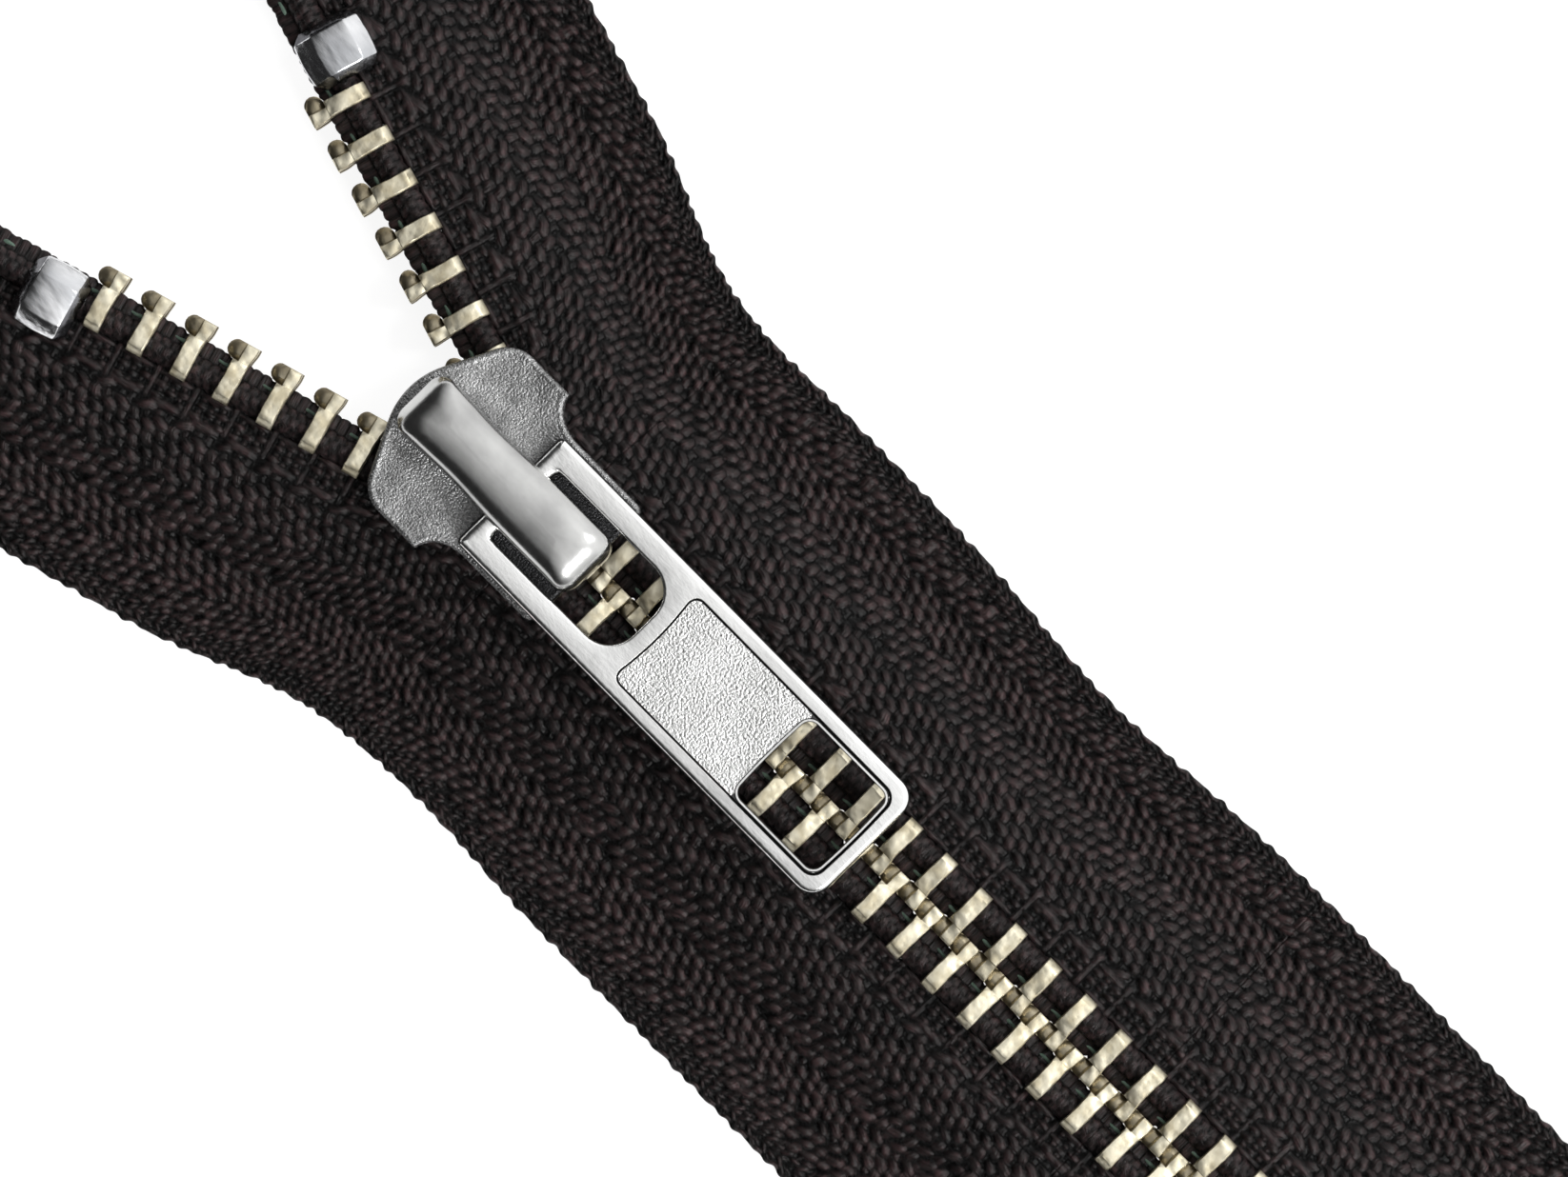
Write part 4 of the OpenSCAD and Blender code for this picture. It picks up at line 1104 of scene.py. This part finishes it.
def fill_between(mesh, *rings):
    """Flat faces between an outer ring and the rings inside it."""
    edges = [mesh.edges.get((a, b)) or mesh.edges.new((a, b))
             for ring in rings for a, b in zip(ring, ring[1:] + ring[:1])]
    return bmesh.ops.triangle_fill(mesh, use_beauty=True, edges=edges)["geom"]


def edge_rings(mesh, outline, r, steps, sign):
    """Rings from the middle plane up to the face of the tab, the edge rounded by r. sign is
    1 at an outer edge and -1 round a window."""
    normal = outward(outline) * sign
    r = np.broadcast_to(np.asarray(r, float), len(outline))
    rings = [add_ring(mesh, outline, 0.0)]
    for a in np.linspace(0, math.pi / 2, steps):
        inset = (r * (1 - math.cos(a)))[:, None]
        rings.append(add_ring(mesh, outline - normal * inset, TAB_T - r * (1 - math.sin(a))))
    for low, high in zip(rings, rings[1:]):
        ring_between(mesh, low, high)
    return rings[-1]


def stepped_rings(mesh, outline, steps):
    """Rings at steps of (shift out of the outline, height), joined in turn. Returns the
    first and the last."""
    normal = outward(outline)
    rings = [add_ring(mesh, outline + normal * shift, z) for shift, z in steps]
    for low, high in zip(rings, rings[1:]):
        ring_between(mesh, low, high)
    return rings[0], rings[-1]


tab_finish = metal("coined_tab", tab_light, tab_dark, (0.12, 0.26), (9000.0, 0.10),
                   (1100.0, 0.30), (1.0, 0.4, 1.0))
panel_finish = metal("grained_panel", panel_light, panel_dark, (0.24, 0.40), (7600.0, 1.0),
                     (5400.0, 0.40))
edge_shade_finish = metal("painted_edge_shade", edge_shade_grey, edge_shade_grey, (0.3, 0.5), (9000.0, 0.3), (2600.0, 0.1))
mesh = bmesh.new()
outline = round_rect(-TAB_HALF, -TAB_LEN, TAB_HALF, BAR_R, (1.2, 0.35, 0.35, 1.2), (0, 0), 10, 24)
bar_edge = ease(0.15, 0.5, outward(outline)[:, 1]) * ease(-0.2, 0.5, outline[:, 1])
outer = edge_rings(mesh, outline, 0.32 + 0.24 * bar_edge, 8, 1)
yoke = round_rect(-TAB_HALF + ARM, -YOKE_LEN, TAB_HALF - ARM, -BAR_R,
                  (YOKE_R, 0.45, 0.45, YOKE_R), (0, 0), 10, 12)
under_bar = ease(-2.0, -0.7, yoke[:, 1]) * ease(0.3, 0.9, outward(yoke)[:, 1])
yoke_ring = edge_rings(mesh, yoke, 0.18 + 0.28 * under_bar, 6, -1)
window = round_rect(-WINDOW_HALF, WINDOW_LOW, WINDOW_HALF, WINDOW_HIGH, (0.55,) * 4,
                    (-0.10, 0.10), 7, 10)
_, lip_foot = stepped_rings(mesh, window, (
    (0.0, 0.0), (0.0, LIP_Z - 0.05), (0.04, LIP_Z), (0.14, LIP_Z), (0.19, PANEL_Z)))
panel = round_rect(-PANEL_HALF, PANEL_LOW, PANEL_HALF, PANEL_HIGH, (0.8, 0.75, 0.75, 0.8),
                   (-0.10, -0.28), 8, 14)
rim_in, panel_edge = stepped_rings(mesh, panel, (
    (0.0, TAB_T), (-0.03, TAB_T - 0.03), (-0.09, PANEL_Z - GROOVE), (-0.145, PANEL_Z)))
fill_between(mesh, outer, yoke_ring, rim_in)
# the narrow strip beside and below the window, between the lip and the groove, gets the painted
# shade too
for face in fill_between(mesh, panel_edge, lip_foot):
    if isinstance(face, bmesh.types.BMFace):
        x, y, _ = face.calc_center_median()
        beside = y < WINDOW_HIGH and (abs(x) > WINDOW_HALF or y < WINDOW_LOW)
        face.material_index = EDGE_SHADE if beside else PANEL
copies = bmesh.ops.duplicate(mesh, geom=mesh.verts[:] + mesh.edges[:] + mesh.faces[:])["geom"]
for vert in (v for v in copies if isinstance(v, bmesh.types.BMVert)):
    vert.co.z = -vert.co.z
bmesh.ops.remove_doubles(mesh, verts=mesh.verts, dist=1e-5)
bmesh.ops.recalc_face_normals(mesh, faces=mesh.faces)
# the steep edge walls and the fine groove round the panel are painted near black: painted shade
for face in mesh.faces:
    if face.material_index == COINED and abs(face.normal.z) < 0.70:
        face.material_index = EDGE_SHADE
for vert in mesh.verts:
    vert.co = place(vert.co.x, PIVOT_Y + vert.co.y, PIVOT_Z + vert.co.z)
tab_mesh = bpy.data.meshes.new("coined_pull_tab")
mesh.to_mesh(tab_mesh)
mesh.free()
for finish in (tab_finish, panel_finish, edge_shade_finish):
    tab_mesh.materials.append(finish)
tab = bpy.data.objects.new("coined_pull_tab", tab_mesh)
bpy.context.scene.collection.objects.link(tab)
tab_mesh.polygons.foreach_set("use_smooth", [True] * len(tab_mesh.polygons))
tab_mesh.set_sharp_from_angle(angle=math.radians(30))
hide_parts("pull_tab")
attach(tab, "tab")
